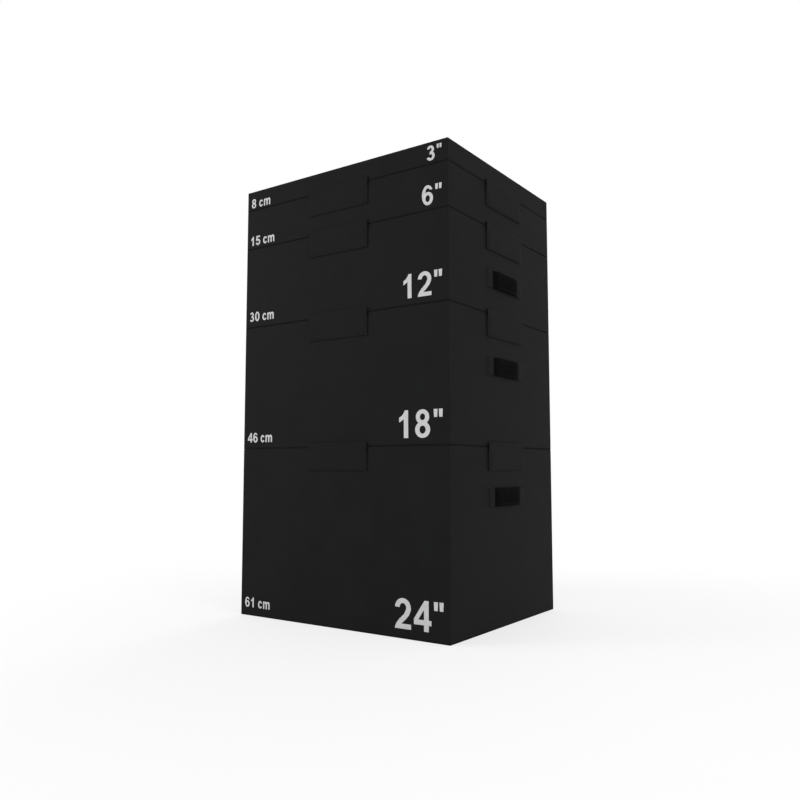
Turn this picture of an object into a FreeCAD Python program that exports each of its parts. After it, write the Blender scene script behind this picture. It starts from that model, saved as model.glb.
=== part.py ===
import FreeCAD, Part

import math
import os
from collections import namedtuple

# A tower of five soft plyo boxes. Each box is a foam block in a sewn vinyl cover with a non-slip base panel
# and a zip across the rear wall. Flaps along the lower edge of each upper box grip the box below by hook and
# loop, and the three tall boxes have a carry strap on both sides.
# Millimetres, +Z up, origin on the floor under the middle of the tower. The numbered face looks along -Y.

# Boxes
BOX_WIDTH = 907.0
BOX_DEPTH = 759.0
HEIGHT_24IN = 609.6
HEIGHT_18IN = 457.2
HEIGHT_12IN = 304.8
HEIGHT_6IN = 152.4
HEIGHT_3IN = 76.2
EDGE_RADIUS = 3.0
COVER_WALL = 1.2
BASE_THICKNESS = 4.0
BASE_LEAST_FLAT = 0.5
CORE_CLEARANCE = 0.3

# Flaps, with the drop below and the lap above the seam between two boxes
FLAP_WIDTH = 265.0
FLAP_DROP = 80.0
FLAP_LAP = 15.0
FLAP_PLY = 3.0
FLAP_CORNER_RADIUS = 4.0
FLAP_GAP = 0.3
HOOK_THICKNESS = 1.5
LOOP_THICKNESS = 1.5
STRIP_SIDE_MARGIN = 15.0
STRIP_BOTTOM_MARGIN = 12.0
STRIP_BELOW_SEAM = 18.0

# Carry straps, lying along the side walls
STRAP_LENGTH = 262.0
STRAP_WIDTH = 62.0
STRAP_THICKNESS = 3.5
STRAP_RISE_LENGTH = 26.0
FINGER_GAP = 7.0
TAB_LENGTH = 40.0
TAB_WALL = 1.5
STRAP_BELOW_TOP_24IN = 170.0
STRAP_BELOW_TOP_18IN = 180.0
STRAP_BELOW_TOP_12IN = 180.0

# Zips, along the rear walls
ZIP_END_MARGIN = 63.5
ZIP_TAPE_WIDTH = 30.0
ZIP_ABOVE_FLAP = 8.0
CHAIN_WIDTH = 6.0
CHAIN_HEIGHT = 1.8
STOP_LENGTH = 4.0
STOP_OVERHANG = 1.0
STOP_RISE = 0.6
SLIDER_LENGTH = 14.0
SLIDER_FLANGE = 2.2
SLIDER_ROOF = 1.0
SLIDE_GAP = 0.3
EAR_LENGTH = 3.2
EAR_THICKNESS = 1.2
EAR_CAP = 0.4
PIN_RADIUS = 0.8
PIN_GAP = 0.15
EYE_WALL = 0.45
EYE_WIDTH = 4.0
PULL_LENGTH = 32.0
PULL_WIDTH = 9.0
PULL_THICKNESS = 1.2
PULL_CORNER_RADIUS = 3.0
PULL_NECK = 7.0
PULL_SLOT_LENGTH = 10.0
PULL_SLOT_WIDTH = 3.0
PULL_SLOT_MARGIN = 4.0

# Worked out from the sizes above; "out" is the distance outwards from a box wall
UP = FreeCAD.Vector(0, 0, 1)
HOOK_OUT = LOOP_THICKNESS + FLAP_GAP
PLY_OUT = HOOK_OUT + HOOK_THICKNESS
HINGE_OUT = PLY_OUT + FLAP_PLY / 2
HEM_THICKNESS = PLY_OUT - FLAP_GAP
STRIP_WIDTH = FLAP_WIDTH - 2 * STRIP_SIDE_MARGIN
ZIP_LENGTH = BOX_WIDTH - 2 * ZIP_END_MARGIN
ZIP_ABOVE_BOTTOM = FLAP_LAP + ZIP_ABOVE_FLAP + ZIP_TAPE_WIDTH / 2
ROOF_OUT = CHAIN_HEIGHT + SLIDE_GAP
EYE_RADIUS = PIN_RADIUS + PIN_GAP + EYE_WALL
PIN_OUT = ROOF_OUT + SLIDER_ROOF + SLIDE_GAP + EYE_RADIUS
SLIDER_REST = ZIP_LENGTH / 2 - STOP_LENGTH - SLIDE_GAP - SLIDER_LENGTH / 2

# The four walls: turn about Z from the front, and distance from the middle of the tower
Wall = namedtuple("Wall", "name turn distance")
FRONT = Wall("front", 0, BOX_DEPTH / 2)
RIGHT = Wall("right", 90, BOX_WIDTH / 2)
BACK = Wall("back", 180, BOX_DEPTH / 2)
LEFT = Wall("left", 270, BOX_WIDTH / 2)
WALLS = (FRONT, RIGHT, BACK, LEFT)

# The boxes from the floor up
Box = namedtuple("Box", "name bottom top strap_below_top")


def stack_boxes():
    """Set each box on the one below it."""
    sizes = (
        ("24in", HEIGHT_24IN, STRAP_BELOW_TOP_24IN),
        ("18in", HEIGHT_18IN, STRAP_BELOW_TOP_18IN),
        ("12in", HEIGHT_12IN, STRAP_BELOW_TOP_12IN),
        ("6in", HEIGHT_6IN, None),
        ("3in", HEIGHT_3IN, None),
    )
    boxes = []
    bottom = 0.0
    for name, height, strap_below_top in sizes:
        boxes.append(Box(name, bottom, bottom + height, strap_below_top))
        bottom += height
    return boxes


def save(node, solids):
    """Write the solids of one node."""
    shape = solids[0] if len(solids) == 1 else Part.makeCompound(solids)
    shape.exportStep(os.path.join("parts", node + ".step"))


def on_wall(shape, wall, height):
    """Move a shape drawn on the plane y = 0, with -Y outwards, to a wall at the given height."""
    placed = shape.copy()
    placed.translate(FreeCAD.Vector(0, -wall.distance, height))
    placed.rotate(FreeCAD.Vector(0, 0, 0), UP, wall.turn)
    return placed


def slab(x_span, out_span, z_span):
    """A block on the plane y = 0 with its second span measured outwards, towards -Y."""
    corner = FreeCAD.Vector(x_span[0], -out_span[1], z_span[0])
    return Part.makeBox(
        x_span[1] - x_span[0], out_span[1] - out_span[0], z_span[1] - z_span[0], corner
    )


def centred(width):
    """The span of the given width about zero."""
    return (-width / 2, width / 2)


def rounded_block(width, depth, bottom, top, radius, round_end):
    """A block with rounded upright edges, and with the edges of its top or bottom end rounded too."""
    corner = FreeCAD.Vector(-width / 2, -depth / 2, bottom)
    block = Part.makeBox(width, depth, top - bottom, corner)
    square_end = bottom if round_end == "top" else top
    soft_edges = []
    for edge in block.Edges:
        heights = [vertex.Z for vertex in edge.Vertexes]
        if heights != [square_end, square_end]:
            soft_edges.append(edge)
    return block.makeFillet(radius, soft_edges)


def zip_height(box):
    """Height of the middle of a box's zip."""
    return box.bottom + ZIP_ABOVE_BOTTOM


def cover(box):
    """Top deck and walls as one thin shell, open below, with the zip's slot in its rear wall."""
    skirt = box.bottom + BASE_THICKNESS
    inner_radius = EDGE_RADIUS - min(COVER_WALL, EDGE_RADIUS / 2)
    outside = rounded_block(BOX_WIDTH, BOX_DEPTH, skirt, box.top, EDGE_RADIUS, "top")
    inside = rounded_block(
        BOX_WIDTH - 2 * COVER_WALL,
        BOX_DEPTH - 2 * COVER_WALL,
        skirt,
        box.top - COVER_WALL,
        inner_radius,
        "top",
    )
    slot = slab(centred(ZIP_LENGTH), (-COVER_WALL, 0), centred(ZIP_TAPE_WIDTH))
    return outside.cut(inside).cut(on_wall(slot, BACK, zip_height(box)))


def foam_core(box):
    """The foam block, standing on the base panel and just clear of the cover."""
    margin = COVER_WALL + CORE_CLEARANCE
    core_radius = EDGE_RADIUS - min(margin, EDGE_RADIUS / 2)
    return rounded_block(
        BOX_WIDTH - 2 * margin,
        BOX_DEPTH - 2 * margin,
        box.bottom + BASE_THICKNESS,
        box.top - margin,
        core_radius,
        "top",
    )


def base_panel(box):
    """The non-slip sheet under the foam, rounded along its lower edges."""
    radius = min(EDGE_RADIUS, BASE_THICKNESS - BASE_LEAST_FLAT)
    return rounded_block(BOX_WIDTH, BOX_DEPTH, box.bottom, box.bottom + BASE_THICKNESS, radius, "bottom")


def flap():
    """A hanging flap and its hook strip, with heights measured from the seam. Its top edge is its hinge."""
    ply = slab(centred(FLAP_WIDTH), (PLY_OUT, PLY_OUT + FLAP_PLY), (-FLAP_DROP, FLAP_LAP))
    low_corners = [
        edge
        for edge in ply.Edges
        if all(v.Z < 0 for v in edge.Vertexes) and edge.Vertexes[0].X == edge.Vertexes[1].X
    ]
    ply = ply.makeFillet(FLAP_CORNER_RADIUS, low_corners)
    nose = Part.makeCylinder(
        FLAP_PLY / 2,
        FLAP_WIDTH,
        FreeCAD.Vector(-FLAP_WIDTH / 2, -HINGE_OUT, FLAP_LAP),
        FreeCAD.Vector(1, 0, 0),
    )
    hook = slab(centred(STRIP_WIDTH), (HOOK_OUT, PLY_OUT), strip_heights())
    return [ply.fuse(nose).removeSplitter(), hook]


def strip_heights():
    """The heights of a hook or loop strip, measured from the seam."""
    return (STRIP_BOTTOM_MARGIN - FLAP_DROP, -STRIP_BELOW_SEAM)


def hem():
    """The sewn strip that a flap hangs from, with heights measured from the seam."""
    return slab(centred(FLAP_WIDTH), (0, HEM_THICKNESS), (BASE_THICKNESS, FLAP_LAP))


def loop_strip():
    """The loop strip behind a flap, on the wall of the lower box."""
    return slab(centred(STRIP_WIDTH), (0, LOOP_THICKNESS), strip_heights())


def strap_face_edges(offset):
    """One face of the carry strap from left to right, at an offset outwards from its middle line."""
    turn = 2 * math.atan(FINGER_GAP / STRAP_RISE_LENGTH)
    bend = STRAP_RISE_LENGTH / (2 * math.sin(turn))
    seated = STRAP_THICKNESS / 2
    rise_start = -STRAP_LENGTH / 2 + TAB_LENGTH
    rise_end = rise_start + STRAP_RISE_LENGTH

    def on_lower_bend(angle):
        reach = bend - offset
        return (rise_start + reach * math.sin(angle), seated + bend - reach * math.cos(angle))

    def on_upper_bend(angle):
        reach = bend + offset
        return (
            rise_end - reach * math.sin(angle),
            seated + FINGER_GAP - bend + reach * math.cos(angle),
        )

    left_half = [
        (-STRAP_LENGTH / 2, seated + offset),
        on_lower_bend(0),
        on_lower_bend(turn / 2),
        on_lower_bend(turn),
        on_upper_bend(turn / 2),
        on_upper_bend(0),
    ]
    left = [FreeCAD.Vector(x, -out, 0) for x, out in left_half]
    right = [FreeCAD.Vector(-p.x, p.y, 0) for p in left]
    return [
        Part.LineSegment(left[0], left[1]),
        Part.Arc(left[1], left[2], left[3]),
        Part.Arc(left[3], left[4], left[5]),
        Part.LineSegment(left[5], right[5]),
        Part.Arc(right[5], right[4], right[3]),
        Part.Arc(right[3], right[2], right[1]),
        Part.LineSegment(right[1], right[0]),
    ]


def carry_strap():
    """The strap: flat under its tabs, then standing off the wall by the finger gap."""
    inner = strap_face_edges(-STRAP_THICKNESS / 2)
    outer = strap_face_edges(STRAP_THICKNESS / 2)
    ends = [
        Part.LineSegment(inner[0].StartPoint, outer[0].StartPoint),
        Part.LineSegment(inner[-1].EndPoint, outer[-1].EndPoint),
    ]
    edges = Part.sortEdges([curve.toShape() for curve in inner + outer + ends])[0]
    outline = Part.Face(Part.Wire(edges))
    strap = outline.extrude(UP * STRAP_WIDTH)
    strap.translate(UP * (-STRAP_WIDTH / 2))
    return strap


def strap_tabs():
    """The two end caps, each closed over one flat end of the strap."""
    end = STRAP_LENGTH / 2
    mouth = end - TAB_LENGTH
    cap = slab(
        (mouth, end + TAB_WALL), (0, STRAP_THICKNESS + TAB_WALL), centred(STRAP_WIDTH + 2 * TAB_WALL)
    )
    pocket = slab((mouth, end), (0, STRAP_THICKNESS), centred(STRAP_WIDTH))
    right_tab = cap.cut(pocket)
    left_tab = right_tab.mirror(FreeCAD.Vector(0, 0, 0), FreeCAD.Vector(1, 0, 0))
    return [left_tab, right_tab]


def zip_chain():
    """Zip tape, flush in the cover's slot, with its raised chain and a stop at each end."""
    tape = slab(centred(ZIP_LENGTH), (-COVER_WALL, 0), centred(ZIP_TAPE_WIDTH))
    raised = [slab(centred(ZIP_LENGTH), (0, CHAIN_HEIGHT), centred(CHAIN_WIDTH))]
    stop_width = CHAIN_WIDTH + 2 * STOP_OVERHANG
    end = ZIP_LENGTH / 2
    for x_span in ((-end, STOP_LENGTH - end), (end - STOP_LENGTH, end)):
        raised.append(slab(x_span, (0, CHAIN_HEIGHT + STOP_RISE), centred(stop_width)))
    return tape.multiFuse(raised).removeSplitter()


def zip_slider():
    """The slider astride the chain, with two ears that hold the pull's pin."""
    inner_half = CHAIN_WIDTH / 2 + SLIDE_GAP
    outer_half = inner_half + SLIDER_FLANGE
    ear_inner = EYE_WIDTH / 2 + SLIDE_GAP
    ear_outer = ear_inner + EAR_THICKNESS
    roof = slab(centred(SLIDER_LENGTH), (ROOF_OUT, ROOF_OUT + SLIDER_ROOF), centred(2 * outer_half))
    pieces = []
    for low, high in ((inner_half, outer_half), (-outer_half, -inner_half)):
        pieces.append(slab(centred(SLIDER_LENGTH), (SLIDE_GAP, ROOF_OUT), (low, high)))
    for low, high in ((ear_inner, ear_outer), (-ear_outer, -ear_inner)):
        ear_span = (ROOF_OUT + SLIDER_ROOF, PIN_OUT + PIN_RADIUS + EAR_CAP)
        pieces.append(slab(centred(EAR_LENGTH), ear_span, (low, high)))
    pieces.append(
        Part.makeCylinder(PIN_RADIUS, 2 * ear_inner, FreeCAD.Vector(0, -PIN_OUT, -ear_inner), UP)
    )
    slider = roof.multiFuse(pieces).removeSplitter()
    slider.translate(FreeCAD.Vector(SLIDER_REST, 0, 0))
    return slider


def zip_pull():
    """The pull: an eye round the slider's pin, a neck and a slotted grip, lying along the chain."""
    low = FreeCAD.Vector(0, -PIN_OUT, -EYE_WIDTH / 2)
    eye = Part.makeCylinder(EYE_RADIUS, EYE_WIDTH, low, UP)
    bore = Part.makeCylinder(PIN_RADIUS + PIN_GAP, EYE_WIDTH, low, UP)
    thickness = (PIN_OUT - PULL_THICKNESS / 2, PIN_OUT + PULL_THICKNESS / 2)
    neck = slab((-PULL_NECK, 0), thickness, centred(EYE_WIDTH))
    grip = slab((-PULL_LENGTH, -PULL_NECK), thickness, centred(PULL_WIDTH))
    upright_corners = [e for e in grip.Edges if e.Vertexes[0].X == e.Vertexes[1].X]
    corners = [e for e in upright_corners if e.Vertexes[0].Z == e.Vertexes[1].Z]
    grip = grip.makeFillet(PULL_CORNER_RADIUS, corners)
    slot_start = PULL_SLOT_MARGIN - PULL_LENGTH
    slot = slab((slot_start, slot_start + PULL_SLOT_LENGTH), thickness, centred(PULL_SLOT_WIDTH))
    pull = eye.multiFuse([neck, grip]).removeSplitter().cut(bore).cut(slot)
    pull.translate(FreeCAD.Vector(SLIDER_REST, 0, 0))
    return pull


def build_box(box):
    """Write the core, cover, base and zip of one box."""
    save("foam_core_" + box.name, [foam_core(box)])
    save("cover_" + box.name, [cover(box)])
    save("base_panel_" + box.name, [base_panel(box)])
    save("zip_" + box.name, [on_wall(zip_chain(), BACK, zip_height(box))])
    save("zip_slider_" + box.name, [on_wall(zip_slider(), BACK, zip_height(box))])
    save("zip_pull_" + box.name, [on_wall(zip_pull(), BACK, zip_height(box))])


def build_handles(box):
    """Write the carry straps on both sides of one box, and their tabs."""
    height = box.top - box.strap_below_top
    sides = (LEFT, RIGHT)
    save("handle_straps_" + box.name, [on_wall(carry_strap(), wall, height) for wall in sides])
    save("handle_tabs_" + box.name, [on_wall(tab, wall, height) for wall in sides for tab in strap_tabs()])


def build_closure(lower, upper):
    """Write the flaps and hems of the upper box, and the loop strips of the lower one."""
    seam = upper.bottom
    for wall in WALLS:
        node = "flap_" + upper.name + "_" + wall.name
        save(node, [on_wall(solid, wall, seam) for solid in flap()])
    save("flap_hems_" + upper.name, [on_wall(hem(), wall, seam) for wall in WALLS])
    save("loop_strips_" + lower.name, [on_wall(loop_strip(), wall, seam) for wall in WALLS])


def main():
    os.makedirs("parts", exist_ok=True)
    boxes = stack_boxes()
    for box in boxes:
        build_box(box)
        if box.strap_below_top is not None:
            build_handles(box)
    for lower, upper in zip(boxes, boxes[1:]):
        build_closure(lower, upper)


main()
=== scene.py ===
import logging
import math
from dataclasses import dataclass, field, replace
from enum import Enum
from functools import cached_property
from typing import Callable, Optional, Sequence, Union

import bpy
import numpy as np
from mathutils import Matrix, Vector, noise
from mathutils.bvhtree import BVHTree
from mathutils.geometry import delaunay_2d_cdt


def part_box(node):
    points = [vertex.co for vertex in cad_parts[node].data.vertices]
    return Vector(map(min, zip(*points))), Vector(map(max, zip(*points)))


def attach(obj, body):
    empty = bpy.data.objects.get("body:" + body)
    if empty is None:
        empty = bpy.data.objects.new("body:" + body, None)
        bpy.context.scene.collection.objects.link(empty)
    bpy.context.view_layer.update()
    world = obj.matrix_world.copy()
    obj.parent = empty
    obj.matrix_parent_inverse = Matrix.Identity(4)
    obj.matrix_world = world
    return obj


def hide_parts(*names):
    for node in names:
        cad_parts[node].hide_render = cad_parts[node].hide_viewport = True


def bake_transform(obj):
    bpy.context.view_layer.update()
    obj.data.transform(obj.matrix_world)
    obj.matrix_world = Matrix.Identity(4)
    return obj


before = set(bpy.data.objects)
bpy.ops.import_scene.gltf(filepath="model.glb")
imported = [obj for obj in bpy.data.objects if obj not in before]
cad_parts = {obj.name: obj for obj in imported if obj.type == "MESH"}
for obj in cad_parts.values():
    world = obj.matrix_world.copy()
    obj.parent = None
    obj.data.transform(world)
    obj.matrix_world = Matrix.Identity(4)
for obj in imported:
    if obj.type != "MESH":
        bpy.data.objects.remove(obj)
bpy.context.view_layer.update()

MM = 0.001
INCH = 0.0254
EDGE_LAYER = "edge_wear"
# A point of a block with more lean than this along an axis lies on the face square to it.
FULL_LEAN = 0.99
# Up in the frame of the stack, and out in the rows of (along, up, out) that a wall takes.
Z_AXIS = np.array((0.0, 0.0, 1.0))
FLAP_WIDTH = 265.0 * MM
# Hook and loop tapes lie between these two distances below the joint of two boxes.
TAPE_LOW = 68.0 * MM
TAPE_HIGH = 18.0 * MM
TAPE_WIDTH = 235.0 * MM

Pair = tuple[float, float]
Place = tuple[float, float, float]
Colour = tuple[float, float, float, float]
Outline = list[Pair]
Thing = bpy.types.Object
Socket = bpy.types.NodeSocket
Feed = Union[Socket, float, tuple]

log = logging.getLogger("plyo_stack")


class BoxSize(Enum):
    """The boxes of the stack, from the floor up, by their height."""

    IN24 = "24in"
    IN18 = "18in"
    IN12 = "12in"
    IN6 = "6in"
    IN3 = "3in"

    def __str__(self) -> str:
        """The height as it stands in the names of solids and pieces."""
        return self.value

    @property
    def body(self) -> str:
        """Name of the body that carries this box."""
        return f"box_{self}"

    @property
    def bottom(self) -> float:
        """Height of the box's underside."""
        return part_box(f"base_panel_{self}")[0].z

    @property
    def top(self) -> float:
        """Height of the box's deck."""
        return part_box(f"cover_{self}")[1].z


class Side(Enum):
    """The four walls, by their turn from the front in degrees."""

    FRONT = 0
    RIGHT = 90
    BACK = 180
    LEFT = 270


@dataclass(frozen=True)
class Wall:
    """One wall of the stack with its own along, up and out directions."""

    side: Side

    @cached_property
    def distance(self) -> float:
        """How far the wall of the covers stands from the middle of the stack."""
        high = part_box(f"cover_{BoxSize.IN24}")[1]
        return high.y if self.side in (Side.FRONT, Side.BACK) else high.x

    @cached_property
    def along(self) -> np.ndarray:
        """Direction to the right, seen from outside."""
        turn = math.radians(self.side.value)
        return np.array((math.cos(turn), math.sin(turn), 0.0))

    @cached_property
    def out(self) -> np.ndarray:
        """Direction away from the wall."""
        return np.cross(self.along, Z_AXIS)

    def place(self, points: np.ndarray) -> np.ndarray:
        """Moves rows of (along, up, out), with out measured from the wall, into the frame of the stack."""
        reach = points[:, 2:] + self.distance
        return points[:, :1] * self.along + points[:, 1:2] * Z_AXIS + reach * self.out


def ease(share: np.ndarray) -> np.ndarray:
    """Turns a straight rise from 0 to 1 into a soft one, level at both ends and beyond them."""
    cut = share.clip(0.0, 1.0)
    return cut**2 * (3 - 2 * cut)


def rectangle(left: float, right: float, low: float, high: float, level: float) -> np.ndarray:
    """Gives the closed path round a rectangle.

    Args:
        left: its left side.
        right: its right side.
        low: its lower side.
        high: its upper side.
        level: its place on the third axis.

    Returns:
        Five corner points, the first one again at the end.
    """
    corners = [(left, low), (right, low), (right, high), (left, high), (left, low)]
    return np.array([(*corner, level) for corner in corners])


def grid_lines(
    low: float,
    high: float,
    radius: Union[float, Pair],
    spacing: float,
    marks: Sequence[float] = (),
    steps: int = 2,
    clear: float = 0.3,
) -> tuple[np.ndarray, ...]:
    """Spreads the grid lines of a rounded block along one axis, closer in its rounded edges.

    Args:
        low: lower end.
        high: upper end.
        radius: edge radius, or one for each end.
        spacing: distance between lines in the flat middle.
        marks: places that must have a line of their own.
        steps: lines in half of a rounded edge.
        clear: share of the spacing that stays free of other lines beside a mark.

    Returns:
        The place of each line, its lean out of the flat and its edge radius.
    """
    first, last = radius if isinstance(radius, tuple) else (radius, radius)
    start, stop = low + first, high - last
    flat = np.linspace(start, stop, max(1, round((stop - start) / spacing)) + 1)
    if marks:
        apart = np.abs(flat[:, None] - np.array(marks)[None, :]).min(axis=1)
        apart[[0, -1]] = spacing
        flat = np.unique(np.concatenate((flat[apart > spacing * clear], marks)))
    level = np.zeros(len(flat))
    leans = np.tan(np.pi / 4 * np.arange(1, steps + 1) / steps)
    return (
        np.concatenate((np.full(steps, start), flat, np.full(steps, stop))),
        np.concatenate((-leans[::-1], level, leans)),
        np.concatenate((np.full(steps, first), level, np.full(steps, last))),
    )


@dataclass
class Block:
    """Surface of a rounded block: points, outward normals, edge leans and faces."""

    points: np.ndarray
    normals: np.ndarray
    lean: np.ndarray
    faces: np.ndarray

    @classmethod
    def of(cls, *spans: tuple, steps: int = 2) -> "Block":
        """Makes the closed surface of a block.

        Args:
            spans: for each of the three axes its low end, high end, edge radius, line spacing and marks,
                as grid_lines takes them.
            steps: lines in half of a rounded edge.

        Returns:
            The block.
        """
        axes = [grid_lines(*span, steps=steps) for span in spans]
        shape = tuple(len(places) for places, *_ in axes)
        ends = [np.isin(np.arange(count), (0, count - 1)) for count in shape]
        shell = ends[0][:, None, None] | ends[1][None, :, None] | ends[2][None, None, :]
        index = np.full(shape, -1)
        index[shell] = np.arange(shell.sum())
        where = np.argwhere(shell).T
        base, lean, radii = (
            np.stack([lines[rows] for lines, rows in zip(part, where)], axis=1) for part in zip(*axes)
        )
        normals = lean / np.linalg.norm(lean, axis=1, keepdims=True)
        faces = []
        for axis in range(3):
            for end in (0, -1):
                grid = np.take(index, end, axis=axis)
                corners = [grid[:-1, :-1], grid[1:, :-1], grid[1:, 1:], grid[:-1, 1:]]
                if (axis == 1) != (end == 0):
                    corners.reverse()
                faces.append(np.stack([corner.ravel() for corner in corners], axis=1))
        return cls(base + normals * radii, normals, lean, np.concatenate(faces))

    @property
    def edge(self) -> np.ndarray:
        """How far each point is round an edge, from 0 on a flat to 1 on the ridge."""
        return np.sort(np.abs(self.lean), axis=1)[:, 1]

    def facing(self, axis: int, end: int) -> np.ndarray:
        """Marks the points on the lower (-1) or upper (1) face that is square to an axis."""
        return self.lean[:, axis] * end > FULL_LEAN

    def moved(self, *shift: float) -> "Block":
        """Gives the same block at another place."""
        return replace(self, points=self.points + np.array(shift))


@dataclass(frozen=True)
class Stitch:
    """A kind of lock stitch in heavy thread."""

    pitch: float = 4.8 * MM
    length: float = 3.6 * MM
    radius: float = 0.42 * MM
    bed: float = 0.6

    # Place along the stitch, size and sink of each ring, as shares of half its length and of its radius.
    RINGS = ((-1.0, 0.45, 1.0), (-0.55, 1.0, 0.1), (0.55, 1.0, 0.1), (1.0, 0.45, 1.0))
    SIDES = 6

    @property
    def sunk(self) -> float:
        """How far the thread's middle lies below the surface that it sews."""
        return self.radius * self.bed

    def run(self, path: np.ndarray, up: np.ndarray = Z_AXIS) -> tuple[np.ndarray, ...]:
        """Lays stitches end to end along straight stretches.

        Args:
            path: corner points of the seam, one row each.
            up: direction away from the sewn surface.

        Returns:
            Points, four-sided faces and end caps.
        """
        centres, ways = [], []
        for start, stop in zip(path[:-1], path[1:]):
            reach = np.linalg.norm(stop - start)
            count = max(1, round(reach / self.pitch))
            shares = (np.arange(count) + 0.5) / count
            centres.append(start + shares[:, None] * (stop - start))
            ways.append(np.repeat([(stop - start) / reach], count, axis=0))
        centre, way = np.concatenate(centres), np.concatenate(ways)
        near = np.arange(self.SIDES)
        turns = (near * 2 * np.pi / self.SIDES)[:, None]
        arms = np.cross(up, way)[:, None] * np.cos(turns) + up * np.sin(turns)
        rings = []
        for along, size, sink in self.RINGS:
            middle = centre + way * along * self.length / 2 - up * sink * self.radius
            rings.append(middle[:, None] + arms * size * self.radius)
        each = len(rings) * self.SIDES
        far = np.roll(near, -1)
        band = np.stack((near, far, far + self.SIDES, near + self.SIDES), axis=1)
        tube = np.concatenate([band + start for start in range(0, each - self.SIDES, self.SIDES)])
        caps = np.stack((near[::-1], near + each - self.SIDES))
        starts = (np.arange(len(centre)) * each)[:, None, None]
        points = np.stack(rings, axis=1).reshape(-1, 3)
        return points, (tube + starts).reshape(-1, 4), (caps + starts).reshape(-1, self.SIDES)


class Draft:
    """Points and faces gathered for one piece."""

    def __init__(self, block: Optional[Block] = None, wall: Optional[Wall] = None) -> None:
        """Starts a piece, empty or with one block.

        Args:
            block: the block.
            wall: the wall that it is drawn on, if it isn't drawn in the frame of the stack.
        """
        self.points: list[np.ndarray] = []
        self.edges: list[np.ndarray] = []
        self.faces: list[list[int]] = []
        self.count = 0
        if block is not None:
            self.add_block(block, wall)

    def add(self, points: np.ndarray, *faces: np.ndarray, edge: Optional[np.ndarray] = None) -> None:
        """Adds a form to the piece.

        Args:
            points: its points, in the frame of the stack.
            faces: arrays of faces that index those points.
            edge: how far each point is round an edge.
        """
        for rows in faces:
            self.faces.extend((rows + self.count).tolist())
        self.points.append(points)
        self.edges.append(np.zeros(len(points)) if edge is None else edge)
        self.count += len(points)

    def add_block(self, block: Block, wall: Optional[Wall] = None) -> None:
        """Adds a block, drawn on a wall or in the frame of the stack."""
        self.add(wall.place(block.points) if wall else block.points, block.faces, edge=block.edge)

    def sew(self, stitch: Stitch, path: np.ndarray, wall: Wall, bend: Callable = np.copy) -> None:
        """Adds a seam along a path of (along, up, out) corners on a wall, bent like the cloth below it."""
        points, *faces = stitch.run(path)
        self.add(wall.place(bend(points)), *faces)

    def piece(self, name: str, finish: "Finish", rounded: bool = False, smooth: bool = True) -> Thing:
        """Makes the object.

        Args:
            name: the piece's name.
            finish: what it is dressed in.
            rounded: whether a subdivision surface rounds it.
            smooth: whether it is shaded without facets.

        Returns:
            The new object, in the scene.
        """
        mesh = bpy.data.meshes.new(name)
        mesh.from_pydata(np.concatenate(self.points).tolist(), [], self.faces)
        mesh.polygons.foreach_set("use_smooth", [smooth] * len(mesh.polygons))
        layer = mesh.attributes.new(EDGE_LAYER, "FLOAT", "POINT")
        layer.data.foreach_set("value", np.concatenate(self.edges).astype(np.float32))
        mesh.materials.append(finish.material)
        made = bpy.data.objects.new(name, mesh)
        bpy.context.scene.collection.objects.link(made)
        if rounded:
            modifier = made.modifiers.new("smooth", "SUBSURF")
            modifier.levels = modifier.render_levels = 1
        log.info("%s: %d points", name, self.count)
        return made


def fit(piece: Thing, body: str, slot: str = "", *nodes: str) -> Thing:
    """Lets a body carry a piece.

    Args:
        piece: the piece.
        body: the body that it moves with.
        slot: the material slot of its finish, if it has one; not used.
        nodes: the plain solids that it stands for.

    Returns:
        The piece.
    """
    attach(piece, body)
    if nodes:
        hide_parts(*nodes)
    return piece


def grey(value: float, tint: float = 0.0) -> Colour:
    """Gives a grey, a little bluer for a tint above 0."""
    return (value * (1 - tint), value, value * (1 + tint), 1.0)


@dataclass(frozen=True)
class Coat:
    """A grey that covers part of a colour where its mask is above 0."""

    mask: Socket
    share: float
    tone: float


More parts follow.
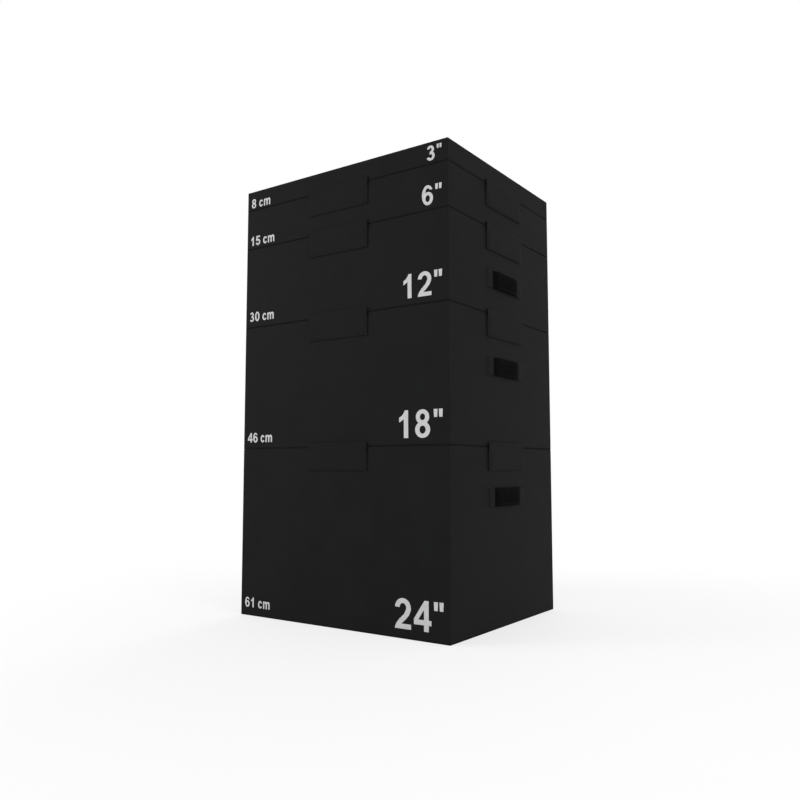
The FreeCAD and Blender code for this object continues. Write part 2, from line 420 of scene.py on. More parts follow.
class Graph:
    """A node tree with short calls to add nodes and join them."""

    def __init__(self, tree: bpy.types.NodeTree) -> None:
        """Works on one tree."""
        self.tree = tree

    @cached_property
    def place(self) -> Socket:
        """Position on the piece in metres."""
        return self.add("ShaderNodeTexCoord").outputs["Object"]

    def add(self, kind: str, feeds: Optional[dict] = None, **settings: object) -> bpy.types.Node:
        """Adds a node.

        Args:
            kind: the node's type name.
            feeds: what goes into its sockets, by name or number; a socket is joined, a value is set.
            settings: its other properties.

        Returns:
            The node.
        """
        node = self.tree.nodes.new(kind)
        for key, value in settings.items():
            setattr(node, key, value)
        for key, feed in (feeds or {}).items():
            if isinstance(feed, Socket):
                self.tree.links.new(feed, node.inputs[key])
            else:
                node.inputs[key].default_value = feed
        return node

    def math(self, operation: str, *feeds: Feed) -> Socket:
        """Adds one operation on up to three feeds and returns its result."""
        return self.add("ShaderNodeMath", dict(enumerate(feeds)), operation=operation).outputs[0]

    def span(
        self, value: Feed, start: float = 0.0, stop: float = 1.0, to_start: float = 0.0, to_stop: float = 1.0
    ) -> Socket:
        """Eases a value from one range, start to stop, into another and returns the result."""
        feeds = dict(enumerate((value, start, stop, to_start, to_stop)))
        return self.add("ShaderNodeMapRange", feeds, interpolation_type="SMOOTHSTEP").outputs[0]

    def mix(self, share: Feed, first: Feed, second: Feed) -> Socket:
        """Mixes two colours and returns the result."""
        return self.add("ShaderNodeMix", {0: share, 6: first, 7: second}, data_type="RGBA").outputs[2]

    def layer(self, colour: Feed, *coats: Coat) -> Feed:
        """Lays coats over a colour in turn.

        Args:
            colour: what lies below.
            coats: the coats, from the lowest up.

        Returns:
            The colour with all its coats.
        """
        for coat in coats:
            colour = self.mix(self.math("MULTIPLY", coat.mask, coat.share), colour, grey(coat.tone))
        return colour

    def noise(self, scale: Feed, detail: float, place: Optional[Socket] = None) -> Socket:
        """Adds cloudy noise, at the piece's own position if no other is given, and returns its value."""
        feeds = {"Vector": self.place if place is None else place, "Scale": scale, "Detail": detail}
        return self.add("ShaderNodeTexNoise", feeds).outputs[0]

    def use(self, effect: type["Effect"], *feeds: Feed, place: Optional[Socket] = None) -> list[Socket]:
        """Places a shared effect.

        Args:
            effect: which effect.
            feeds: what goes into its inputs after the position, in order.
            place: the position, if it isn't the piece's own.

        Returns:
            Its outputs, in order.
        """
        made = bpy.data.node_groups.get(effect.__name__.lower()) or effect().tree
        given = dict(enumerate((self.place if place is None else place, *feeds)))
        return list(self.add("ShaderNodeGroup", given, node_tree=made).outputs)

    def cloud(self, scale: float) -> Socket:
        """Adds cloudy variation from 0 to 1 and returns it."""
        return self.use(Mottle, scale)[0]

    def seen(self) -> Socket:
        """Adds a test for rays that show in the picture.

        Returns:
            1 for what the camera sees, straight on, in gloss or through glass.
        """
        path = self.add("ShaderNodeLightPath").outputs
        plain = self.math("MAXIMUM", path["Is Camera Ray"], path["Is Glossy Ray"])
        return self.math("MAXIMUM", plain, path["Is Transmission Ray"])

    def surface(
        self,
        colour: Feed,
        rough: Feed,
        height: Feed,
        depth: float,
        strength: float,
        gloss: float = 0.5,
        metal: float = 0.0,
    ) -> None:
        """Ends a material in its shader.

        Args:
            colour: its base colour.
            rough: its roughness.
            height: its relief, from 0 to about 1.
            depth: how deep the relief is, in metres.
            strength: how strongly the relief shows.
            gloss: its specular level.
            metal: 1 for metal, 0 for anything else.
        """
        bump = self.add("ShaderNodeBump", {"Strength": strength, "Distance": depth, "Height": height})
        feeds = {"Base Color": colour, "Roughness": rough, "Normal": bump.outputs[0]}
        values = {"Specular IOR Level": gloss, "Metallic": metal}
        shader = self.add("ShaderNodeBsdfPrincipled", {**feeds, **values})
        self.add("ShaderNodeOutputMaterial", {"Surface": shader.outputs[0]})


class Effect(Graph):
    """A surface effect that several finishes share, kept as one node group."""

    INPUTS: tuple[str, ...] = ("Scale",)
    OUTPUTS: tuple[str, ...] = ("Mask",)

    def __init__(self) -> None:
        """Makes the group with its sockets, of which the first is a position, and draws its nodes."""
        super().__init__(bpy.data.node_groups.new(type(self).__name__.lower(), "ShaderNodeTree"))
        sockets = [("Place", "INPUT", "NodeSocketVector")]
        sockets += [(label, "INPUT", "NodeSocketFloat") for label in self.INPUTS]
        sockets += [(label, "OUTPUT", "NodeSocketFloat") for label in self.OUTPUTS]
        for label, way, kind in sockets:
            self.tree.interface.new_socket(name=label, in_out=way, socket_type=kind)
        self.given = self.add("NodeGroupInput").outputs
        self.place = self.given["Place"]
        self.add("NodeGroupOutput", dict(zip(self.OUTPUTS, self.draw())))

    def draw(self) -> tuple[Socket, ...]:
        """Adds the group's nodes and returns what it puts out, in order."""
        raise NotImplementedError


class Grain(Effect):
    """Pebbled cells with soft hollows between them."""

    OUTPUTS = ("Height", "Hollow")
    FINE_RATIO = 2.6
    FINE_HEIGHT = 0.35

    def draw(self) -> tuple[Socket, ...]:
        """Rounds the cells and roughens them with finer noise.

        Returns:
            The height and the hollows.
        """
        scale = self.given["Scale"]
        feeds = {"Vector": self.place, "Scale": scale, "Randomness": 0.9}
        cells = self.add("ShaderNodeTexVoronoi", feeds, feature="DISTANCE_TO_EDGE").outputs["Distance"]
        fine = self.noise(self.math("MULTIPLY", scale, self.FINE_RATIO), detail=2.0)
        dome = self.span(cells, start=0.02, stop=0.3)
        height = self.math("MULTIPLY_ADD", fine, self.FINE_HEIGHT, dome)
        return height, self.math("SUBTRACT", 1.0, dome)


class Mottle(Effect):
    """Cloudy variation from 0 to 1."""

    OUTPUTS = ("Shade",)

    def draw(self) -> tuple[Socket, ...]:
        """Stretches plain noise and returns it."""
        return (self.span(self.noise(self.given["Scale"], detail=4.0), start=0.32, stop=0.68),)


class Wear(Effect):
    """Broken rubbing along edges."""

    INPUTS = ("Edge", "Scale")

    def draw(self) -> tuple[Socket, ...]:
        """Breaks up the edges with noise.

        Returns:
            The rubbed places.
        """
        broken = self.span(self.noise(self.given["Scale"], detail=5.0), start=0.36, stop=0.7)
        reach = self.math("MULTIPLY", self.given["Edge"], broken)
        return (self.span(reach, start=0.12, stop=0.75),)


class Scuff(Effect):
    """Short faint streaks where shoes and floors have rubbed."""

    LAYERS = ((0.5, 9.0), (-0.9, 13.0))
    TILT = 0.6
    PATCH_SCALE = 5.0

    def draw(self) -> tuple[Socket, ...]:
        """Lays two sets of streaks, each with its own turn and stretch, in patches.

        Returns:
            The streaks.
        """
        streaks = []
        for turn, stretch in self.LAYERS:
            feeds = {0: self.place, 2: (turn, turn * self.TILT, turn), 3: (1.0, stretch, stretch)}
            laid = self.add("ShaderNodeMapping", feeds).outputs[0]
            drawn_out = self.noise(self.given["Scale"], detail=6.0, place=laid)
            streaks.append(self.span(drawn_out, start=0.63, stop=0.76))
        patches = self.span(self.noise(self.PATCH_SCALE, detail=2.0), start=0.48, stop=0.66)
        return (self.math("MULTIPLY", self.math("MAXIMUM", *streaks), patches),)


class Dust(Effect):
    """Thin chalk dust on what faces up."""

    INPUTS = ("Upward",)
    SPECK_SCALE = 900.0
    SPECK_SHARE = 0.7
    DRIFT_SCALE = 16.0
    DRIFT_SHARE = 0.25

    def draw(self) -> tuple[Socket, ...]:
        """Adds specks and soft drifts.

        Returns:
            The dusty places.
        """
        specks = self.span(self.noise(self.SPECK_SCALE, detail=2.0), start=0.52, stop=0.78)
        drift = self.span(self.noise(self.DRIFT_SCALE, detail=6.0), start=0.35, stop=0.8)
        drift = self.math("MULTIPLY", drift, self.DRIFT_SHARE)
        cover = self.math("MULTIPLY_ADD", specks, self.SPECK_SHARE, drift)
        return (self.math("MULTIPLY", cover, self.span(self.given["Upward"], start=0.3)),)


class Weave(Effect):
    """Plain weave: warp and weft pass over each other in turn."""

    INPUTS = ("Along pitch", "Up pitch")
    OUTPUTS = ("Height", "Gap")

    def draw(self) -> tuple[Socket, ...]:
        """Rounds both yarns and lets one or the other lie on top, cell by cell.

        Returns:
            The height and the gaps between yarns.
        """
        parts = self.add("ShaderNodeSeparateXYZ", {0: self.place}).outputs
        ways = [self.math("DIVIDE", parts[i], self.given[pitch]) for i, pitch in enumerate(self.INPUTS)]
        domes, lower = [], []
        for way in ways:
            centred = self.math("SUBTRACT", self.math("FRACT", way), 0.5)
            domes.append(self.math("COSINE", self.math("MULTIPLY", centred, math.pi)))
            lower.append(self.math("MULTIPLY_ADD", domes[-1], 0.5, 0.5))
        cell = self.math("ADD", *(self.math("FLOOR", way) for way in ways))
        over = self.math("GREATER_THAN", self.math("FLOORED_MODULO", cell, 2.0), 0.5)
        warp = self.math("MULTIPLY", domes[0], lower[1])
        weft = self.math("MULTIPLY", domes[1], lower[0])
        height = self.add("ShaderNodeMix", {0: over, 2: warp, 3: weft}, data_type="FLOAT").outputs[0]
        return height, self.span(height, start=0.55, stop=0.1)


class Pile(Effect):
    """Standing tips of a hook or loop tape."""

    INPUTS = ("Scale", "Disorder")
    OUTPUTS = ("Height", "Tip")
    RAGGED_RATIO = 1.7

    def draw(self) -> tuple[Socket, ...]:
        """Stands a ragged tip in each cell.

        Returns:
            The height and the tips.
        """
        scale = self.given["Scale"]
        feeds = {"Vector": self.place, "Scale": scale, "Randomness": self.given["Disorder"]}
        tips = self.add("ShaderNodeTexVoronoi", feeds).outputs["Distance"]
        ragged = self.noise(self.math("MULTIPLY", scale, self.RAGGED_RATIO), detail=3.0)
        peaks = self.span(tips, start=0.62, stop=0.1)
        height = self.math("MULTIPLY", peaks, self.span(ragged, start=0.2, stop=0.75, to_start=0.5))
        return height, self.span(height, start=0.5, stop=0.95)


@dataclass(frozen=True)
class Finish(Graph):
    """What a piece is dressed in; each kind draws its own material."""

    name: str

    @cached_property
    def blank(self) -> bpy.types.Material:
        """The material before its nodes are drawn."""
        made = bpy.data.materials.new(self.name)
        made.use_nodes = True
        made.node_tree.nodes.clear()
        return made

    @property
    def tree(self) -> bpy.types.NodeTree:
        """The material's node tree."""
        return self.blank.node_tree

    @cached_property
    def material(self) -> bpy.types.Material:
        """The finished material, drawn the first time it is asked for."""
        self.draw()
        return self.blank

    def draw(self) -> None:
        """Adds the material's nodes."""
        raise NotImplementedError


@dataclass(frozen=True)
class VinylFinish(Finish):
    """Matt coated vinyl with a fine pebbled grain."""

    shade: float = 0.011
    light: float = 0.0128
    worn: float = 0.03
    dust: float = 0.07
    grain_scale: float = 780.0
    grain_depth: float = 0.18 * MM
    wear_scale: float = 140.0
    scuff_scale: float = 30.0
    scuff_rough: float = 0.6
    rough_end: float = 1.5
    patch_height: float = 0.08
    roughness: Pair = (0.52, 0.6)
    gloss: float = 0.018

    def draw(self) -> None:
        """Adds grain with painted shade in its hollows, cloudy colour, rubbed edges, scuffs and dust."""
        edge = self.add("ShaderNodeAttribute", attribute_name=EDGE_LAYER).outputs["Fac"]
        normal = self.add("ShaderNodeNewGeometry").outputs["True Normal"]
        upward = self.add("ShaderNodeSeparateXYZ", {0: normal}).outputs[2]
        grain, shaded_hollow = self.use(Grain, self.grain_scale)
        cloud, patch = self.cloud(scale=9.0), self.cloud(scale=46.0)
        wear = self.use(Wear, edge, self.wear_scale)[0]
        scuff = self.use(Scuff, self.scuff_scale)[0]
        dust = self.use(Dust, upward)[0]
        colour = self.layer(
            self.mix(cloud, grey(self.shade, 0.01), grey(self.light, 0.02)),
            # Painted shade: the hollows of the grain are darkened.
            Coat(shaded_hollow, share=0.35, tone=self.shade * 0.5),
            Coat(wear, share=0.25, tone=self.worn),
            Coat(scuff, share=0.3, tone=self.worn),
            Coat(dust, share=0.045, tone=self.dust),
        )
        matt = self.math("MULTIPLY_ADD", scuff, self.scuff_rough, cloud)
        rough = self.span(matt, 0.0, self.rough_end, *self.roughness)
        height = self.math("MULTIPLY_ADD", patch, self.patch_height, grain)
        self.surface(colour, rough, height, self.grain_depth, strength=0.75, gloss=self.gloss)


@dataclass(frozen=True)
class RubberFinish(Finish):
    """Non-slip base cloth with raised rubber pebbles."""

    shade: float = 0.009
    pebble: float = 0.0125
    scale: float = 210.0
    fine_scale: float = 1260.0
    fine_height: float = 0.12
    scuff_scale: float = 18.0

    def draw(self) -> None:
        """Adds pebbles with painted shade in the hollows between them, fine grain and scuffs from the floor.
        """
        pebbles, shaded_hollow = self.use(Grain, self.scale)
        fine = self.use(Grain, self.fine_scale)[0]
        cloud = self.cloud(scale=14.0)
        colour = self.layer(
            # Painted shade: the hollows between the pebbles take the darker tone.
            self.mix(shaded_hollow, grey(self.pebble), grey(self.shade)),
            Coat(cloud, share=0.12, tone=self.shade * 0.7),
            Coat(self.use(Scuff, self.scuff_scale)[0], share=0.12, tone=self.pebble * 3),
        )
        rough = self.span(cloud, to_start=0.7, to_stop=0.85)
        height = self.math("MULTIPLY_ADD", fine, self.fine_height, pebbles)
        self.surface(colour, rough, height, depth=0.7 * MM, strength=0.8, gloss=0.02)


@dataclass(frozen=True)
class WovenFinish(Finish):
    """Woven tape, with the weave laid out along one wall direction."""

    along: str
    along_pitch: float
    up_pitch: float
    depth: float
    shade: float
    light: float
    fibre_height: float = 0.2

    def draw(self) -> None:
        """Adds warp and weft, painted shade in the gaps between yarns, stray fibres and cloudy colour."""
        parts = self.add("ShaderNodeSeparateXYZ", {0: self.place}).outputs
        flat = self.add("ShaderNodeCombineXYZ", {0: parts[self.along], 1: parts["Z"]}).outputs[0]
        weave, gap = self.use(Weave, self.along_pitch, self.up_pitch, place=flat)
        cloud, fibres = self.cloud(scale=40.0), self.cloud(scale=1500.0)
        colour = self.layer(
            self.mix(cloud, grey(self.shade), grey(self.light)),
            Coat(fibres, share=0.35, tone=self.light * 2.2),
            # Painted shade: the gaps between yarns are darkened.
            Coat(gap, share=0.7, tone=self.shade * 0.3),
        )
        rough = self.span(fibres, to_start=0.72, to_stop=0.92)
        height = self.math("MULTIPLY_ADD", fibres, self.fibre_height, weave)
        self.surface(colour, rough, height, self.depth, strength=0.9, gloss=0.015)


@dataclass(frozen=True)
class PileFinish(Finish):
    """Hook or loop tape, with standing tips over a woven ground."""

    scale: float
    disorder: float
    depth: float
    shade: float
    tip: float
    lint: float = 0.09
    lint_scale: float = 260.0

    def draw(self) -> None:
        """Adds the tips, painted shade on the ground between them, and caught lint."""
        pile, tip = self.use(Pile, self.scale, self.disorder)
        cloud = self.cloud(scale=25.0)
        lint = self.span(self.noise(self.lint_scale, detail=4.0), start=0.66, stop=0.74)
        colour = self.layer(
            # Painted shade: colour runs from dark on the low ground to light on the tips, by height.
            self.mix(tip, grey(self.shade), grey(self.tip)),
            Coat(cloud, share=0.2, tone=self.shade * 0.8),
            Coat(lint, share=0.3, tone=self.lint),
        )
        rough = self.span(cloud, to_start=0.8, to_stop=0.95)
        self.surface(colour, rough, pile, self.depth, strength=0.9, gloss=0.1)


@dataclass(frozen=True)
class ThreadFinish(Finish):
    """Bonded sewing thread of three twisted strands."""

    shade: float = 0.011
    light: float = 0.022
    twist_scale: float = 520.0

    def draw(self) -> None:
        """Adds the twist, with painted light and shade along its strands."""
        feeds = {"Vector": self.place, "Scale": self.twist_scale, "Distortion": 1.5}
        twist = self.add("ShaderNodeTexWave", feeds, bands_direction="DIAGONAL").outputs["Fac"]
        cloud = self.cloud(scale=300.0)
        # Painted light and shade: the twist's ridges are lighter and its grooves darker, following the bands
        # of the relief.
        colour = self.mix(self.math("MULTIPLY", twist, cloud), grey(self.shade), grey(self.light))
        rough = self.span(cloud, to_start=0.5, to_stop=0.65)
        self.surface(colour, rough, twist, depth=0.15 * MM, strength=0.7, gloss=0.06)


@dataclass(frozen=True)
class PlatedFinish(Finish):
    """Dark plated metal of the zip hardware."""

    shade: float = 0.05
    bare: float = 0.32
    tint: float = 0.03
    scuff_scale: float = 240.0
    fine_rough: float = 0.3
    roughness: Pair = (0.28, 0.46)

    def draw(self) -> None:
        """Adds rubbed spots, fine unevenness and cloudy plating."""
        cloud, fine = self.cloud(scale=160.0), self.cloud(scale=2400.0)
        rub = self.use(Scuff, self.scuff_scale)[0]
        colour = self.mix(cloud, grey(self.shade, self.tint), grey(self.shade * 1.5, self.tint))
        colour = self.layer(colour, Coat(rub, share=0.6, tone=self.bare))
        uneven = self.math("MULTIPLY_ADD", fine, self.fine_rough, cloud)
        rough = self.span(uneven, 0.0, 1 + self.fine_rough, *self.roughness)
        self.surface(colour, rough, fine, depth=0.03 * MM, strength=0.4, metal=1.0)


@dataclass(frozen=True)
class MouldedFinish(Finish):
    """Black moulded plastic of the zip teeth."""

    shade: float = 0.016
    skin_rough: float = 0.4
    roughness: Pair = (0.36, 0.52)

    def draw(self) -> None:
        """Adds cloudy colour and a fine moulded skin."""
        cloud, skin = self.cloud(scale=120.0), self.cloud(scale=2600.0)
        colour = self.mix(cloud, grey(self.shade), grey(self.shade * 1.5))
        uneven = self.math("MULTIPLY_ADD", skin, self.skin_rough, cloud)
        rough = self.span(uneven, 0.0, 1 + self.skin_rough, *self.roughness)
        self.surface(colour, rough, skin, depth=0.04 * MM, strength=0.4, gloss=0.3)


@dataclass(frozen=True)
class InkFinish(Finish):
    """Light grey screen print over the grain of the vinyl."""

    shade: float = 0.49
    light: float = 0.54
    tint: float = 0.004
    bare: float = 0.12
    grain_scale: float = 780.0
    scuff_scale: float = 70.0

    def draw(self) -> None:
        """Adds the grain below, painted shade in its hollows, cloudy ink and small losses."""
        grain, shaded_hollow = self.use(Grain, self.grain_scale)
        cloud = self.cloud(scale=60.0)
        colour = self.layer(
            self.mix(cloud, grey(self.shade, self.tint), grey(self.light, self.tint)),
            # Painted shade: the ink is darkened in the hollows of the grain.
            Coat(shaded_hollow, share=0.12, tone=self.shade * 0.6),
            Coat(self.use(Scuff, self.scuff_scale)[0], share=0.35, tone=self.bare),
        )
        rough = self.span(cloud, to_start=0.55, to_stop=0.7)
        self.surface(colour, rough, grain, depth=0.08 * MM, strength=0.5, gloss=0.15)


@dataclass(frozen=True)
class FloorFinish(Finish):
    """Plain pale floor that runs out into a white background."""

    shade: float = 0.94
    near: float = 1.1
    far: float = 2.6
    veil: float = 0.68

    def draw(self) -> None:
        """Adds a matt floor round the object and white beyond it."""
        away = self.add("ShaderNodeVectorMath", {0: self.place}, operation="LENGTH").outputs["Value"]
        colour = self.mix(self.cloud(scale=30.0), grey(self.shade), grey(self.shade * 1.01))
        matt = self.add("ShaderNodeBsdfDiffuse", {"Color": colour})
        white = self.add("ShaderNodeEmission", {"Color": grey(1.0), "Strength": 1.0})
        share = self.math("MULTIPLY", self.seen(), self.span(away, self.near, self.far, self.veil))
        both = self.add("ShaderNodeMixShader", {0: share, 1: matt.outputs[0], 2: white.outputs[0]})
        self.add("ShaderNodeOutputMaterial", {"Surface": both.outputs[0]})


VINYL = VinylFinish("cover_vinyl")
TRIM_VINYL = VinylFinish("trim_vinyl", shade=0.0108, light=0.0126, grain_scale=840.0)
BASE_CLOTH = RubberFinish("base_cloth")
WEBBING = WovenFinish("strap_webbing", "Y", 2.2 * MM, 1.5 * MM, depth=0.5 * MM, shade=0.0022, light=0.0034)
ZIP_CLOTH = WovenFinish("zip_cloth", "X", 0.9 * MM, 0.7 * MM, depth=0.2 * MM, shade=0.009, light=0.013)
HOOKS = PileFinish("hook_tape", scale=620.0, disorder=0.25, depth=0.8 * MM, shade=0.0065, tip=0.026)
LOOPS = PileFinish("loop_tape", scale=430.0, disorder=1.0, depth=0.9 * MM, shade=0.0075, tip=0.022)
THREAD = ThreadFinish("sewing_thread")
PLATING = PlatedFinish("dark_plating")
TEETH = MouldedFinish("moulded_teeth")
INK = InkFinish("print_ink")
FLOOR = FloorFinish("pale_floor")


@dataclass
class PaddedCover:
    """Vinyl cover of one box, tight over its foam."""

    size: BoxSize
    loaded: bool
    side_round: float = 3.0 * MM
    deck_round: float = 1.8 * MM
    foot_round: float = 0.7 * MM
    spacing: float = 14.0 * MM
    crease: float = 0.4 * MM
    crown: float = 1.2 * MM
    least_swell: float = 0.001 * MM
    pucker: float = 0.5 * MM
    pucker_reach: float = 26.0 * MM
    pucker_scale: float = 21.0
    pucker_swing: float = 0.65
    pucker_rise: float = 0.125 * MM
    sag_scale: float = 5.0
    sag_share: float = 0.5
    zip_band: float = 24.0 * MM
    block: Block = field(init=False)
    piece: Thing = field(init=False)

    def build(self) -> None:
        """Makes the closed cover with its sewn creases along the edges."""
        rounds = (self.side_round, self.side_round, (self.foot_round, self.deck_round))
        ends = zip(*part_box(f"cover_{self.size}"), rounds)
        self.block = Block.of(*((*end, self.spacing) for end in ends), steps=3)
        ridge = self.block.edge > FULL_LEAN
        self.block.points[ridge] -= self.block.normals[ridge] * self.crease
        self.piece = Draft(self.block).piece(f"cover_vinyl_{self.size}", VINYL, rounded=True)

    @property
    def still(self) -> np.ndarray:
        """Points that stay flat: the underside and a deck that carries a box."""
        return self.block.facing(2, -1) | (self.block.facing(2, 1) & self.loaded)

    @property
    def held(self) -> np.ndarray:
        """Points that can't swell: sewn edges, the zip's band and what stays flat."""
        low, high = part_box(f"zip_{self.size}")
        in_band = np.abs(self.block.points[:, 2] - (low.z + high.z) / 2) < self.zip_band
        return (self.block.edge > 0) | (self.block.facing(1, 1) & in_band) | self.still

    def swell(self, moved: np.ndarray) -> None:
        """Takes the swelling from the simulation, scaled down to the crown of a tight cover.

        Args:
            moved: the points where the simulation left them.
        """
        lift = ((moved - self.block.points) * self.block.normals).sum(axis=1).clip(min=0.0)
        lift *= min(1.0, self.crown / max(lift.max(), self.least_swell))
        self.block.points += self.block.normals * lift[:, None]

    def settle(self) -> None:
        """Adds soft puckers beside the seams and writes the shape into the mesh."""
        points = self.block.points
        low, high = (np.array(corner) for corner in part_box(f"cover_{self.size}"))
        inside = np.minimum(points - low, high - points)
        inside[np.abs(self.block.lean) > FULL_LEAN] = (high - low).max()
        away = inside.min(axis=1) / self.pucker_reach
        swing, slow = (
            np.array([noise.noise(Vector(point) * scale) for point in points])
            for scale in (self.pucker_scale, self.sag_scale)
        )
        depth = away * np.exp(1 - away) * (1 - self.pucker_swing + self.pucker_swing * swing)
        depth += self.sag_share * slow * away.clip(max=1.0)
        move = np.where((self.block.edge == 0) & ~self.still, depth, 0.0) * self.pucker
        points -= self.block.normals * move[:, None].clip(min=-self.pucker_rise)
        self.piece.data.vertices.foreach_set("co", points.astype(np.float32).ravel())
        self.piece.data.update()

    def dress(self) -> None:
        """Puts the cover on its box in place of the plain solids."""
        fit(self.piece, self.size.body, "vinyl", f"cover_{self.size}", f"foam_core_{self.size}")

    def surface(self) -> BVHTree:
        """Returns the finished surface, for what is printed on it."""
        return BVHTree.FromObject(self.piece, bpy.context.evaluated_depsgraph_get())


@dataclass
class SwellRun:
    """Cloth simulation that swells all covers at once against their sewn edges."""

    covers: list[PaddedCover]
    pressure: float = 4.0
    frames: int = 20
    group: str = "sewn"

    def run(self) -> None:
        """Steps the simulation and hands each cover its swollen points."""
        scene = bpy.context.scene
        for cover in self.covers:
            piece = cover.piece
            sewn = piece.vertex_groups.new(name=self.group)
            sewn.add(np.flatnonzero(cover.held).tolist(), 1.0, "REPLACE")
            piece.modifiers["smooth"].show_viewport = False
            cloth = piece.modifiers.new("swell", "CLOTH")
            cloth.settings.use_pressure = True
            cloth.settings.uniform_pressure_force = self.pressure
            cloth.settings.vertex_group_mass = self.group
            cloth.settings.effector_weights.gravity = 0.0
            cloth.point_cache.frame_end = self.frames
        for step in range(1, self.frames + 1):
            scene.frame_set(step)
        shown = bpy.context.evaluated_depsgraph_get()
        for cover in self.covers:
            piece = cover.piece
            mesh = piece.evaluated_get(shown).data
            moved = np.empty(len(mesh.vertices) * 3, np.float32)
            mesh.vertices.foreach_get("co", moved)
            cover.swell(moved.reshape(-1, 3).astype(float))
            piece.modifiers.remove(piece.modifiers["swell"])
            piece.vertex_groups.clear()
            piece.modifiers["smooth"].show_viewport = True
        scene.frame_set(1)
        log.info("covers swollen in %d steps", self.frames)


@dataclass
class BasePanel:
    """Non-slip panel sewn in under one box."""

    size: BoxSize
    side_round: float = 3.0 * MM
    foot_round: float = 1.4 * MM
    top_round: float = 0.5 * MM
    spacing: float = 60.0 * MM
    hem: float = 11.0 * MM
    groove: float = 1.1 * MM
    groove_width: float = 1.3 * MM
    stitch: Stitch = Stitch(pitch=6.4 * MM, length=4.8 * MM, radius=0.45 * MM, bed=1.4)

    def build(self) -> None:
        """Makes the panel with a groove round its underside, and lays the hem's stitches in the groove."""
        low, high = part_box(f"base_panel_{self.size}")
        left, near = low.x + self.hem, low.y + self.hem
        right, far = high.x - self.hem, high.y - self.hem
        steps = (-self.groove_width, 0.0, self.groove_width)
        columns = [seam + d for seam in (left, right) for d in steps]
        rows = [seam + d for seam in (near, far) for d in steps]
        block = Block.of(
            (low.x, high.x, self.side_round, self.spacing, columns),
            (low.y, high.y, self.side_round, self.spacing, rows),
            (low.z, high.z, (self.foot_round, self.top_round), self.spacing),
        )
        inside = np.minimum(block.points - np.array(low), np.array(high) - block.points)[:, :2].min(axis=1)
        sunk = block.facing(2, -1) & (np.abs(inside - self.hem) < self.groove_width / 2)
        block.points[sunk, 2] += self.groove
        panel = Draft(block).piece(f"base_cloth_{self.size}", BASE_CLOTH, rounded=True)
        fit(panel, self.size.body, "base_rubber", f"base_panel_{self.size}")
        thread = Draft()
        thread.add(*self.stitch.run(rectangle(left, right, near, far, low.z + self.stitch.sunk), -Z_AXIS))
        fit(thread.piece(f"base_stitching_{self.size}", THREAD), self.size.body)


